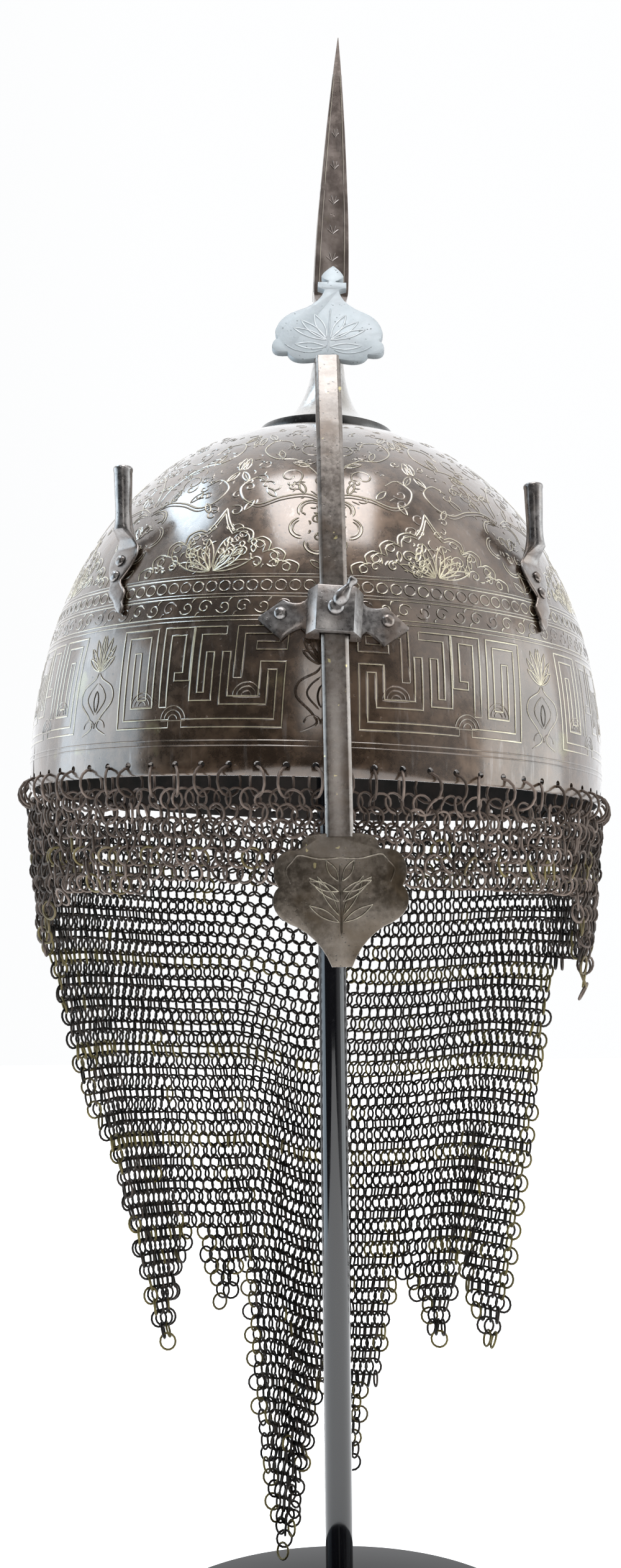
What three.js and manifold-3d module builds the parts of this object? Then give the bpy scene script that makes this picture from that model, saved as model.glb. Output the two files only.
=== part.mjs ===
// A kulah khud, the Persian and Mughal mail-hung steel helmet, on a plain display stand.
// Millimetres, +Z up. The origin is the centre of the underside of the stand's base, and
// the sliding nasal bar faces -Y. Azimuths are in degrees from the front, towards +X.
import * as THREE from 'three';
import { mergeVertices } from 'three/addons/utils/BufferGeometryUtils.js';
import Module from 'manifold-3d';

const wasm = await Module();
wasm.setup();

// Fit
const FIT = 0.3;               // gap between faces that rest on each other
const SLIDE = 0.45;            // running gap round the nasal bar in its keeper
const SAG = 0.4;               // how far a facet of the bowl may lie inside its true curve
const PASS = 40;               // how far a cutting tool reaches past what it cuts
const MELD = 1;                // how far joined forms of one piece run into each other

// Stand
const BASE_RADIUS = 72;
const BASE_THICK = 12;
const BASE_EDGE = 1.5;         // rounding of the base's upper and lower edge
const POST_RADIUS = 4.9;
const SOCKET_DEPTH = 6;        // how deep the post stands in the base
const CAP_RADIUS = 16;         // the support under the crown, hidden in the bowl
const CAP_WALL = 5;            // metal over the post's upper end
const CAP_SOCKET = 9;          // how far the post reaches into the support
const CAP_SLACK = 1.0;         // extra room there, because the support leans with the helmet
const CAP_COLLAR = 3;          // wall of the collar round the post

// Bowl
const BOWL_RADIUS = 101;       // outside, at the rim
const BOWL_HEIGHT = 131;
const BOWL_FULLNESS = 2.2;     // exponent of the outline; 2 would be an ellipse
const BOWL_WALL = 1.8;
const OUTER_STEPS = 12;        // rows of facets from the rim to the crown, outside
const INNER_STEPS = 9;         // and inside
const RIM_HEIGHT = 304;        // of the rim's centre over the table
const LEAN = 2.4;              // degrees, the crown towards +X
const YAW = 2.4;               // degrees, the front towards +X
const RIM_HOLES = 72;
const RIM_HOLE_RADIUS = 1.0;
const RIM_HOLE_RISE = 3.2;     // hole centres over the rim's edge
const CRACK_AZIMUTH = -73.5;
const CRACK_RISE = 12;
const CRACK_WIDTH = 0.7;

// Crown piece and spike
const CROWN_RADIUS = 24;
const CROWN_EDGE = 1.1;        // thickness of its thin outer edge
const STEM_RISE = 44;          // from the top of the bowl to the top of the stem
const SPIKE_LENGTH = 98;
const SPIKE_WIDTH = 12.2;      // of the square section, across the flats
const TANG_RADIUS = 1.6;
const TANG_LENGTH = 14;

// Nasal bar with its two palmettes
const BAR_WIDTH = 8.2;
const BAR_THICK = 3;
const BAR_BEVEL = 1.2;
const BAR_ARC = 470;           // radius that the whole bar is bent to, so that it can slide
const BAR_STAND_OFF = 4.2;     // from the bowl to the bar's middle, level with the keeper
const BAR_LEAN = -0.5;         // degrees from plumb, the top towards +X
const BAR_LOW = -17.5;         // height of the bar's lower end over the rim
const BAR_HIGH = 134;          // height of its upper end
const BAR_FACET = 13;          // length of one straight facet of the bent bar
const PALMETTE_THICK = 2;
const LOWER_HALF_WIDTH = 19.7;
const LOWER_HEIGHT = 39;
const LOWER_TILT = 2;          // degrees, top back; the plate is bent a little off the bar
const UPPER_HALF_WIDTH = 17.8;
const UPPER_HEIGHT = 41;
const UPPER_TILT = 27;
const UPPER_TURN = 4;          // degrees clockwise in its own plane

// Keeper and its clamp screw
const KEEPER_HEIGHT = 48;      // of its centre over the rim
const KEEPER_WIDTH = 16.8;
const KEEPER_FRONT = 11.4;     // width of the flat front
const KEEPER_LENGTH = 14.6;
const KEEPER_SKIN = 2.1;       // metal in front of the slot
const KEEPER_SHOULDER = 3.6;   // height of its sides, under the sloping edges
const KEEPER_TURN = 2;         // degrees clockwise, as it was riveted on
const WING_REACH = 22.6;       // from the keeper's centre to a wing's tip
const WING_HALF = 6.3;         // half height of the lozenge
const WING_NECK = 3.9;         // half height where a wing leaves the keeper
const WING_SCOOP = 1.4;        // how far the neck stands off the keeper
const WING_TIP = 0.4;          // half width of the blunt tip
const WING_THICK = 1.6;
const WING_RIVET = 16;         // rivet from the keeper's centre
const SCREW_RADIUS = 1.6;
const SCREW_COLLAR = 2.5;
const SCREW_HEAD = 1.8;        // height of the collar and its sloping top
const THUMB_LENGTH = 9.6;
const THUMB_RADIUS = 2.3;
const THUMB_LEAN = 35;         // degrees clockwise from upright
const THUMB_RAKE = 28;         // degrees out from the keeper's face

// Rivets
const RIVET_RADIUS = 1.1;
const RIVET_HEAD = 2.0;
const RIVET_CROWN = 1.1;       // height of a head

// Plume holders
const HOLDER_HEIGHT = 65.5;    // of a plate's centre over the rim
const HOLDER_LENGTH = 25;
const HOLDER_HALF = 6.6;
const HOLDER_THICK = 1.5;
const HOLDER_RIVETS = [4.2, -1.0];    // over the plate's centre
const TUBE_RADIUS = 3.0;
const TUBE_BORE = 2.1;
const TUBE_LENGTH = 26;
const TUBE_OFF = 4.6;          // from the bowl to the tube's axis, at its foot
const TUBE_RISE = 11.5;        // the foot over the plate's centre, up the bowl
const TUBE_FLOOR = 5.2;        // solid metal under the bore
const NECK_WIDTH = 6.6;        // of the block that carries the tube on its plate
const NECK_LENGTH = 7.8;
const NECK_DROP = 1.0;         // its middle under the tube's foot, down the bowl
const HOLDERS = [
  { side: 'left', azimuth: -48, tubeLean: -2.4 },
  { side: 'right', azimuth: 48, tubeLean: -3.8 },
];

// Mail
const MAIL_WALL = 2.2;
const MAIL_DROP = 286;         // from the rim to the tip of the longest tail
const MAIL_TAPER = 0.17;       // how the hanging mail draws in: share of the radius lost
const MAIL_CURL = 0.325;       // in step with the drop, and with its square
const MAIL_ROWS = 6;
const MAIL_STEP = 8;           // widest spacing of its columns, in degrees

// The hem, once round from the front: azimuth, and drop as a share of MAIL_DROP.
const HEM = [
  { azimuth: 0, drop: 0.094 },
  { azimuth: 30, drop: 0.101 },
  { azimuth: 58, drop: 0.112 },
  { azimuth: 66, drop: 0.161 },
  { azimuth: 72, drop: 0.234 },
  { azimuth: 79, drop: 0.175 },
  { azimuth: 104, drop: 0.192 },
  { azimuth: 112, drop: 0.210 },
  { azimuth: 113.5, drop: 0.630 },
  { azimuth: 115, drop: 0.717 },
  { azimuth: 120, drop: 0.690 },
  { azimuth: 134, drop: 0.594 },
  { azimuth: 139, drop: 0.724 },
  { azimuth: 155, drop: 0.615 },
  { azimuth: 161, drop: 0.776 },
  { azimuth: 165, drop: 0.780 },
  { azimuth: 168.5, drop: 0.927 },
  { azimuth: 175.5, drop: 0.752 },
  { azimuth: 182, drop: 0.815 },
  { azimuth: 191, drop: 0.923 },
  { azimuth: 198.5, drop: 1.0 },
  { azimuth: 202.5, drop: 0.874 },
  { azimuth: 203.5, drop: 0.622 },
  { azimuth: 205, drop: 0.594 },
  { azimuth: 212, drop: 0.682 },
  { azimuth: 217, drop: 0.559 },
  { azimuth: 235, drop: 0.706 },
  { azimuth: 239, drop: 0.654 },
  { azimuth: 242.5, drop: 0.531 },
  { azimuth: 249, drop: 0.430 },
  { azimuth: 255, drop: 0.364 },
  { azimuth: 259, drop: 0.280 },
  { azimuth: 266, drop: 0.182 },
  { azimuth: 278, drop: 0.150 },
  { azimuth: 285, drop: 0.175 },
  { azimuth: 292, drop: 0.133 },
  { azimuth: 300, drop: 0.112 },
  { azimuth: 330, drop: 0.098 },
];

// Folds of the hanging mail: middle, half width in degrees, and how far each one bends
// inwards at the full drop, as a share of the rim's radius.
const FOLDS = [
  { azimuth: 128, spread: 8, depth: 0.06 },
  { azimuth: 155, spread: 7, depth: 0.07 },
  { azimuth: 176, spread: 6, depth: -0.04 },
  { azimuth: 192, spread: 6, depth: 0.06 },
  { azimuth: 208, spread: 5, depth: 0.05 },
  { azimuth: 222, spread: 7, depth: -0.05 },
  { azimuth: 247, spread: 6, depth: 0.05 },
];

const rad = THREE.MathUtils.degToRad;
const RIM_X = -BOWL_HEIGHT * Math.sin(rad(LEAN));     // so that the crown is over the post

// Solids

// A closed geometry as a solid that can be cut and joined. Faces on a turned piece's
// axis fold to nothing and are left out.
function solid(geometry) {
  const bare = new THREE.BufferGeometry();
  bare.setAttribute('position', geometry.getAttribute('position'));
  if (geometry.index) bare.setIndex(geometry.index);
  const merged = mergeVertices(bare, 1e-4);
  const corners = merged.index.array;
  const kept = [];
  for (let i = 0; i < corners.length; i += 3) {
    const [a, b, c] = corners.slice(i, i + 3);
    if (a !== b && b !== c && c !== a) kept.push(a, b, c);
  }
  return new wasm.Manifold(new wasm.Mesh({
    numProp: 3,
    vertProperties: new Float32Array(merged.getAttribute('position').array),
    triVerts: new Uint32Array(kept),
  }));
}

// The solid as a geometry again.
function faceted(body) {
  const mesh = body.getMesh();
  const geometry = new THREE.BufferGeometry();
  geometry.setAttribute('position', new THREE.BufferAttribute(mesh.vertProperties, 3));
  geometry.setIndex(new THREE.BufferAttribute(mesh.triVerts, 1));
  geometry.computeVertexNormals();
  return geometry;
}

// A turned solid standing along Z, from [radius, height] pairs that start on the axis,
// run up the outside and end on the axis.
function turned(profile, sides) {
  const points = profile.map(([radius, height]) => new THREE.Vector2(radius, height));
  return solid(new THREE.LatheGeometry(points, sides).rotateX(Math.PI / 2));
}

function rod(radius, low, high, sides = 12) {
  return turned([[0, low], [radius, low], [radius, high], [0, high]], sides);
}

function slab(shape, depth, curveSegments = 4) {
  return new THREE.ExtrudeGeometry(shape, { depth, curveSegments, bevelEnabled: false });
}

function moved(body, matrix) {
  return body.transform(matrix.elements);
}

// Bowl surface

// A point of the bowl's outline, offset along its normal; turn runs from 0 at the rim
// to a quarter circle at the crown.
function outlinePoint(turn, offset) {
  const power = 2 / BOWL_FULLNESS;
  const radius = BOWL_RADIUS * Math.cos(turn) ** power;
  const height = BOWL_HEIGHT * Math.sin(turn) ** power;
  const slope = BOWL_FULLNESS - 1;
  const normal = new THREE.Vector2(
    (radius / BOWL_RADIUS) ** slope / BOWL_RADIUS,
    (height / BOWL_HEIGHT) ** slope / BOWL_HEIGHT,
  ).normalize();
  return [radius + normal.x * offset, height + normal.y * offset];
}

function outline(offset, steps) {
  const points = [];
  for (let i = 0; i < steps; i += 1) {
    points.push(outlinePoint((i / steps) * (Math.PI / 2), offset));
  }
  points.push([0, BOWL_HEIGHT + offset]);
  return points;
}

// The turn of the outline at a height over the rim.
function turnAt(height) {
  return Math.asin((height / BOWL_HEIGHT) ** (BOWL_FULLNESS / 2));
}

// The whole bowl, filled and grown by an offset, as a cutting tool.
function filledBowl(offset, steps = OUTER_STEPS) {
  const profile = outline(offset, steps);
  return turned([[0, -PASS], [BOWL_RADIUS + offset, -PASS], ...profile], RIM_HOLES);
}

// A frame on the bowl's outer face: X across, Y up the bowl, Z out of it.
function onBowl(azimuth, height, clockwise = 0) {
  const [radius, rise] = outlinePoint(turnAt(height), 0);
  const [outer, above] = outlinePoint(turnAt(height), 1);
  const out = new THREE.Vector3(0, radius - outer, above - rise);
  const up = new THREE.Vector3(0, out.z, -out.y);
  const frame = new THREE.Matrix4().makeBasis(new THREE.Vector3(1, 0, 0), up, out);
  frame.setPosition(0, -radius, rise);
  frame.premultiply(new THREE.Matrix4().makeRotationZ(rad(azimuth)));
  return frame.multiply(new THREE.Matrix4().makeRotationZ(rad(-clockwise)));
}

// A plate of even thickness that follows the bowl, cut to an outline drawn in a frame.
function plateOnBowl(shape, thick, frame) {
  const skin = filledBowl(FIT + thick).subtract(filledBowl(FIT));
  const prism = slab(shape, PASS).translate(0, 0, -PASS / 2);
  return skin.intersect(moved(solid(prism), frame));
}

// Half outlines run from the top down as quadratic curves; a row holds the control point
// and the end, as shares of the half width and the height.
function palmette(rows, startHalf, halfWidth, height) {
  const shape = new THREE.Shape();
  shape.moveTo(startHalf, 0);
  for (const { bend, end } of rows) {
    shape.quadraticCurveTo(bend[0] * halfWidth, bend[1] * height, end[0] * halfWidth, end[1] * height);
  }
  const left = [...rows].reverse();
  left.forEach(({ bend }, i) => {
    const next = left[i + 1];
    const end = next ? [next.end[0] * halfWidth, next.end[1] * height] : [startHalf, 0];
    if (i === 0) shape.lineTo(-left[0].end[0] * halfWidth, left[0].end[1] * height);
    shape.quadraticCurveTo(-bend[0] * halfWidth, bend[1] * height, -end[0], end[1]);
  });
  shape.closePath();
  return shape;
}

const black = { color: 0x08090b, metalness: 0.1, roughness: 0.2 };
const steel = { color: 0x4a3c34, metalness: 0.85, roughness: 0.42 };
const bright = { color: 0x8f8a86, metalness: 0.9, roughness: 0.35 };
const wire = { color: 0x3a3533, metalness: 0.85, roughness: 0.5 };

function piece(group, name, body, finish) {
  const mesh = new THREE.Mesh(faceted(body), new THREE.MeshStandardMaterial(finish));
  mesh.name = name;
  group.add(mesh);
  return mesh;
}

// Frames of the helmet: the bowl leans on the stand, and the nasal bar hangs nearly plumb.
const part = new THREE.Group();
const helmet = new THREE.Group();
helmet.position.set(RIM_X, 0, RIM_HEIGHT);
helmet.rotation.set(0, rad(LEAN), 0);
const bowlFrame = new THREE.Group();
bowlFrame.rotation.set(0, 0, rad(YAW));
helmet.add(bowlFrame);
const nasalFrame = new THREE.Group();
part.add(helmet, nasalFrame);
helmet.updateMatrixWorld(true);

const keeperFrame = onBowl(0, KEEPER_HEIGHT, KEEPER_TURN);
const keeperCentre = new THREE.Vector3().setFromMatrixPosition(keeperFrame);
keeperCentre.applyMatrix4(bowlFrame.matrixWorld);
nasalFrame.rotation.set(0, rad(BAR_LEAN), 0);
nasalFrame.position.set(
  keeperCentre.x - (keeperCentre.z - RIM_HEIGHT) * Math.sin(rad(BAR_LEAN)), 0, RIM_HEIGHT);
nasalFrame.updateMatrixWorld(true);

// The bar's arc, in the nasal frame: it passes the keeper at the stand-off, square to it.
const [keeperRadius, keeperRise] = outlinePoint(turnAt(KEEPER_HEIGHT), BAR_STAND_OFF);
const [keeperFoot, keeperLow] = outlinePoint(turnAt(KEEPER_HEIGHT), 0);
const keeperSlope = Math.asin((keeperRise - keeperLow) / BAR_STAND_OFF);
const ARC_Y = BAR_ARC * Math.cos(keeperSlope) - keeperRadius;
const ARC_Z = keeperRise - BAR_ARC * Math.sin(keeperSlope);

class BarArc extends THREE.Curve {
  constructor(radius, from, to) {
    super();
    Object.assign(this, { radius, from, to });
  }

  getPoint(t, target = new THREE.Vector3()) {
    const angle = this.from + (this.to - this.from) * t;
    return target.set(0, ARC_Y - this.radius * Math.cos(angle), ARC_Z + this.radius * Math.sin(angle));
  }
}

function angleAt(height) {
  return Math.asin((height - ARC_Z) / BAR_ARC);
}

// Stand

const socketRadius = POST_RADIUS + FIT;
const socketFloor = BASE_THICK - SOCKET_DEPTH;
piece(part, 'stand_base', turned([
  [0, 0],
  [BASE_RADIUS - BASE_EDGE, 0],
  [BASE_RADIUS, BASE_EDGE],
  [BASE_RADIUS, BASE_THICK - BASE_EDGE],
  [BASE_RADIUS - BASE_EDGE * 0.3, BASE_THICK - BASE_EDGE * 0.3],
  [BASE_RADIUS - BASE_EDGE, BASE_THICK],
  [socketRadius, BASE_THICK],
  [socketRadius, socketFloor],
  [0, socketFloor],
], 40), black);

const capTop = BOWL_HEIGHT - BOWL_WALL - FIT;
const capInside = filledBowl(-BOWL_WALL - FIT, INNER_STEPS);
const capOuter = rod(CAP_RADIUS, capTop - CAP_WALL, capTop + MELD, 24).intersect(capInside);
const capCollar = rod(POST_RADIUS + CAP_COLLAR, capTop - CAP_WALL - CAP_SOCKET + MELD, capTop - MELD, 16);
const capSocket = rod(POST_RADIUS + CAP_SLACK, -PASS, capTop - CAP_WALL, 16);
piece(bowlFrame, 'stand_cradle', capOuter.add(capCollar).subtract(capSocket), black);

const postFoot = socketFloor + FIT;
const postTop = RIM_HEIGHT + (capTop - CAP_WALL) * Math.cos(rad(LEAN)) - FIT - CAP_SLACK;
const post = piece(part, 'stand_post', rod(POST_RADIUS, 0, postTop - postFoot, 16), black);
post.position.z = postFoot;

// Rivets, and the holes that they need

function rivetProfile(thick) {
  const inner = -BOWL_WALL - SAG - FIT;
  const outer = thick + FIT + FIT;
  return [
    [0, inner - RIVET_CROWN],
    [RIVET_HEAD * 0.6, inner - RIVET_CROWN],
    [RIVET_HEAD, inner],
    [RIVET_RADIUS, inner],
    [RIVET_RADIUS, outer],
    [RIVET_HEAD, outer],
    [RIVET_HEAD * 0.75, outer + RIVET_CROWN * 0.7],
    [0, outer + RIVET_CROWN],
  ];
}

const rivetDrill = rod(RIVET_RADIUS + FIT, -PASS / 4, PASS / 4, 10);
const holderTurn = (azimuth, rise) => onBowl(azimuth, HOLDER_HEIGHT + rise);

const rivets = [];
for (const { side, sign } of [{ side: 'left', sign: -1 }, { side: 'right', sign: 1 }]) {
  const across = THREE.MathUtils.radToDeg(WING_RIVET / keeperFoot);
  const drop = WING_RIVET * Math.sin(rad(KEEPER_TURN)) * sign;
  rivets.push({
    name: `bracket_rivet_${side}`,
    thick: WING_THICK,
    frame: onBowl(sign * across, KEEPER_HEIGHT - drop),
  });
}
for (const { side, azimuth } of HOLDERS) {
  HOLDER_RIVETS.forEach((rise, i) => rivets.push({
    name: `plume_rivet_${side}_${i + 1}`,
    thick: HOLDER_THICK,
    frame: holderTurn(azimuth, rise),
  }));
}
for (const { name, thick, frame } of rivets) {
  const mesh = piece(bowlFrame, name, turned(rivetProfile(thick), 10), bright);
  frame.decompose(mesh.position, mesh.quaternion, mesh.scale);
}

// Bowl

const shell = outline(0, OUTER_STEPS);
const inner = outline(-BOWL_WALL, INNER_STEPS);
let bowl = turned([[BOWL_RADIUS - BOWL_WALL, 0], ...shell, ...inner.reverse()], RIM_HOLES);
const drills = [];
for (let i = 0; i < RIM_HOLES; i += 1) {
  const drill = rod(RIM_HOLE_RADIUS, -PASS / 4, PASS / 4, 6);
  drills.push(moved(drill, onBowl(((i + 0.5) * 360) / RIM_HOLES, RIM_HOLE_RISE)));
}
const crack = new THREE.BoxGeometry(CRACK_WIDTH, PASS / 4, CRACK_RISE * 2);
crack.translate(0, -BOWL_RADIUS, 0);
drills.push(solid(crack).rotate([0, 0, CRACK_AZIMUTH]));
for (const { frame } of rivets) drills.push(moved(rivetDrill, frame));
bowl = bowl.subtract(wasm.Manifold.union(drills));
piece(bowlFrame, 'bowl', bowl, steel);

// Crown piece: a thin flange on the bowl, drawn up into a slim stem that takes the spike.

const STEM = [
  { radius: 0.83, rise: 0.020 },
  { radius: 0.63, rise: 0.085 },
  { radius: 0.48, rise: 0.160 },
  { radius: 0.38, rise: 0.250 },
  { radius: 0.285, rise: 0.340 },
  { radius: 0.245, rise: 0.460 },
  { radius: 0.195, rise: 0.700 },
  { radius: 0.155, rise: 0.900 },
  { radius: 0.150, rise: 1.0 },
];
function bowlTop(radius) {
  return BOWL_HEIGHT * (1 - (radius / BOWL_RADIUS) ** BOWL_FULLNESS) ** (1 / BOWL_FULLNESS);
}
const tangHole = TANG_RADIUS + FIT;
const stemTop = BOWL_HEIGHT + STEM_RISE;
const crownUnder = [0, 0.45, 0.8, 1].map((share) => {
  const radius = CROWN_RADIUS * share;
  return [radius, bowlTop(radius) + FIT];
});
const crown = turned([
  ...crownUnder,
  [CROWN_RADIUS, bowlTop(CROWN_RADIUS) + FIT + CROWN_EDGE],
  ...STEM.map(({ radius, rise }) => [CROWN_RADIUS * radius, BOWL_HEIGHT + STEM_RISE * rise]),
  [tangHole, stemTop],
  [tangHole, stemTop - TANG_LENGTH],
  [0, stemTop - TANG_LENGTH],
], 20);
piece(bowlFrame, 'crown_stem', crown, bright);

// Spike: a long square pyramid, a little full in the middle, its foot drawn in round.

const SPIKE = [
  { width: 0.62, rise: 0 },
  { width: 0.70, rise: 0.006 },
  { width: 0.98, rise: 0.034 },
  { width: 1.0, rise: 0.09 },
  { width: 0.95, rise: 0.21 },
  { width: 0.877, rise: 0.325 },
  { width: 0.762, rise: 0.44 },
  { width: 0.64, rise: 0.555 },
  { width: 0.508, rise: 0.67 },
  { width: 0.361, rise: 0.78 },
  { width: 0.197, rise: 0.895 },
  { width: 0.03, rise: 1.0 },
];
const corner = (SPIKE_WIDTH / 2) * Math.SQRT2;
const spikeBody = turned([
  [0, 0],
  ...SPIKE.map(({ width, rise }) => [corner * width, SPIKE_LENGTH * rise]),
  [0, SPIKE_LENGTH],
], 4).rotate([0, 0, 45]);
const tang = rod(TANG_RADIUS, FIT - TANG_LENGTH, 1, 10);
const spike = piece(bowlFrame, 'spike', spikeBody.add(tang), steel);
spike.position.z = stemTop + FIT;

// Nasal bar

const barLow = angleAt(BAR_LOW);
const barHigh = angleAt(BAR_HIGH);

function barSection(grow, bevel) {
  const half = BAR_WIDTH / 2 + grow;
  const front = BAR_THICK / 2 + grow;
  const section = new THREE.Shape();
  section.moveTo(-half, -front);
  section.lineTo(half, -front);
  section.lineTo(half, front - bevel);
  section.lineTo(half - bevel, front);
  section.lineTo(bevel - half, front);
  section.lineTo(-half, front - bevel);
  section.closePath();
  return section;
}

function sweptBar(section, from, to, steps) {
  return solid(new THREE.ExtrudeGeometry(section, {
    steps, curveSegments: 1, extrudePath: new BarArc(BAR_ARC, from, to),
  }));
}

// A frame on the arc: X across, Y up the bar, Z out in front.
function onArc(angle, tilt, clockwise = 0) {
  const lean = rad(tilt);
  const frame = new THREE.Matrix4().makeBasis(
    new THREE.Vector3(1, 0, 0),
    new THREE.Vector3(0, Math.sin(lean), Math.cos(lean)),
    new THREE.Vector3(0, -Math.cos(lean), Math.sin(lean)),
  );
  frame.setPosition(new BarArc(BAR_ARC, angle, angle).getPoint(0));
  return frame.multiply(new THREE.Matrix4().makeRotationZ(rad(-clockwise)));
}

const LOWER_PALMETTE = [
  { bend: [0.50, 0.0], end: [0.56, -0.06] },
  { bend: [0.55, -0.10], end: [0.62, -0.12] },
  { bend: [0.93, -0.11], end: [0.98, -0.25] },
  { bend: [1.0, -0.34], end: [0.92, -0.40] },
  { bend: [1.02, -0.44], end: [1.0, -0.53] },
  { bend: [0.96, -0.64], end: [0.64, -0.70] },
  { bend: [0.30, -0.80], end: [0.15, -1.0] },
];
const UPPER_PALMETTE = [
  { bend: [0.42, -0.02], end: [0.52, -0.01] },
  { bend: [0.66, 0.0], end: [0.72, 0.06] },
  { bend: [0.97, 0.04], end: [1.0, 0.11] },
  { bend: [1.0, 0.18], end: [0.91, 0.20] },
  { bend: [0.99, 0.26], end: [0.95, 0.31] },
  { bend: [0.88, 0.44], end: [0.60, 0.50] },
  { bend: [0.20, 0.58], end: [0.13, 0.73] },
  { bend: [0.13, 0.74], end: [0.26, 0.76] },
  { bend: [0.26, 0.80], end: [0.26, 0.82] },
  { bend: [0.08, 0.82], end: [0.06, 0.83] },
  { bend: [0.22, 0.86], end: [0.20, 0.89] },
  { bend: [0.16, 0.94], end: [0.01, 1.0] },
];

function plate(rows, halfWidth, height, frame) {
  const shape = palmette(rows, BAR_WIDTH / 2, halfWidth, height);
  const flat = slab(shape, PALMETTE_THICK, 3).translate(0, 0, -PALMETTE_THICK / 2);
  return moved(solid(flat), frame);
}

const barSteps = Math.ceil(((barHigh - barLow) * BAR_ARC) / BAR_FACET);
const lowerFrame = onArc(barLow, LOWER_TILT);
const upperFrame = onArc(barHigh, UPPER_TILT, UPPER_TURN);
const barJoin = MELD / BAR_ARC;
const nasal = sweptBar(barSection(0, BAR_BEVEL), barLow - barJoin, barHigh + barJoin, barSteps)
  .add(plate(LOWER_PALMETTE, LOWER_HALF_WIDTH, LOWER_HEIGHT, lowerFrame))
  .add(plate(UPPER_PALMETTE, UPPER_HALF_WIDTH, UPPER_HEIGHT, upperFrame));
piece(nasalFrame, 'nasal_bar', nasal, bright);

// Keeper: a riveted strap with a proud box that the bar runs through

function wingShape() {
  const shape = new THREE.Shape();
  const side = KEEPER_WIDTH / 2 - MELD;
  const high = KEEPER_LENGTH / 2 - MELD / 2;
  const neck = KEEPER_WIDTH / 2 + WING_SCOOP;
  const bend = neck - WING_SCOOP / 2;
  const wide = WING_REACH - WING_HALF * 1.15;
  shape.moveTo(-side, -high);
  for (const sign of [1, -1]) {
    const at = (x, y) => [sign * x, -sign * y];
    shape.lineTo(...at(side, high));
    shape.quadraticCurveTo(...at(bend, WING_NECK), ...at(neck, WING_NECK));
    shape.lineTo(...at(wide, WING_HALF));
    shape.lineTo(...at(WING_REACH, WING_TIP));
    shape.lineTo(...at(WING_REACH, -WING_TIP));
    shape.lineTo(...at(wide, -WING_HALF));
    shape.lineTo(...at(neck, -WING_NECK));
    shape.quadraticCurveTo(...at(bend, -WING_NECK), ...at(side, -high));
  }
  shape.closePath();
  return shape;
}

const slotFront = BAR_STAND_OFF + BAR_THICK / 2 + SLIDE;
const keeperProud = slotFront + KEEPER_SKIN;
const box = new THREE.Shape();
box.moveTo(-KEEPER_WIDTH / 2, -keeperProud);
box.lineTo(KEEPER_WIDTH / 2, -keeperProud);
box.lineTo(KEEPER_WIDTH / 2, KEEPER_SHOULDER);
box.lineTo(KEEPER_FRONT / 2, keeperProud);
box.lineTo(-KEEPER_FRONT / 2, keeperProud);
box.lineTo(-KEEPER_WIDTH / 2, KEEPER_SHOULDER);
box.closePath();
const boxGeometry = slab(box, KEEPER_LENGTH).rotateX(Math.PI / 2).translate(0, KEEPER_LENGTH / 2, 0);
const keeperBox = moved(solid(boxGeometry), keeperFrame).subtract(filledBowl(FIT));

const nasalToBowl = bowlFrame.matrixWorld.clone().invert().multiply(nasalFrame.matrixWorld);
const slotReach = (KEEPER_LENGTH * 1.5) / BAR_ARC;
const slotMiddle = angleAt(KEEPER_HEIGHT);
const slot = sweptBar(barSection(SLIDE, 0), slotMiddle - slotReach, slotMiddle + slotReach, 6);
const screwDrill = moved(rod(SCREW_RADIUS + FIT, BAR_STAND_OFF, PASS, 12), keeperFrame);
let bracket = plateOnBowl(wingShape(), WING_THICK, keeperFrame).add(keeperBox);
bracket = bracket.subtract(moved(slot, nasalToBowl)).subtract(screwDrill);
for (const { name, frame } of rivets) {
  if (name.startsWith('bracket')) bracket = bracket.subtract(moved(rivetDrill, frame));
}
piece(bowlFrame, 'nasal_bracket', bracket, bright);

// Clamp screw: its point bears on the bar, and a pear-shaped thumb piece turns it.

const screwTip = BAR_STAND_OFF + BAR_THICK / 2 + FIT;
const screw = turned([
  [0, screwTip],
  [SCREW_RADIUS, screwTip],
  [SCREW_RADIUS, keeperProud + FIT],
  [SCREW_COLLAR, keeperProud + FIT],
  [SCREW_COLLAR, keeperProud + FIT + SCREW_HEAD * 0.55],
  [SCREW_COLLAR * 0.7, keeperProud + FIT + SCREW_HEAD],
  [0, keeperProud + FIT + SCREW_HEAD],
], 12);
const THUMB = [
  { radius: 0.62, along: 0.0 },
  { radius: 0.95, along: 0.16 },
  { radius: 1.0, along: 0.34 },
  { radius: 0.72, along: 0.55 },
  { radius: 0.48, along: 0.72 },
  { radius: 0.64, along: 0.84 },
  { radius: 0.62, along: 0.94 },
  { radius: 0.3, along: 1.0 },
];
const thumb = turned([
  [0, 0],
  ...THUMB.map(({ radius, along }) => [THUMB_RADIUS * radius, THUMB_LENGTH * along]),
  [0, THUMB_LENGTH],
], 10);
const thumbFrame = new THREE.Matrix4().makeTranslation(0, 0, keeperProud + FIT + SCREW_HEAD * 0.9)
  .multiply(new THREE.Matrix4().makeRotationZ(rad(-THUMB_LEAN)))
  .multiply(new THREE.Matrix4().makeRotationX(rad(THUMB_RAKE - 90)));
const clamp = piece(bowlFrame, 'clamp_screw', screw.add(moved(thumb, thumbFrame)), bright);
keeperFrame.decompose(clamp.position, clamp.quaternion, clamp.scale);

// Plume holders: a leaf-shaped plate riveted on, its top drawn out into an upright tube

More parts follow.
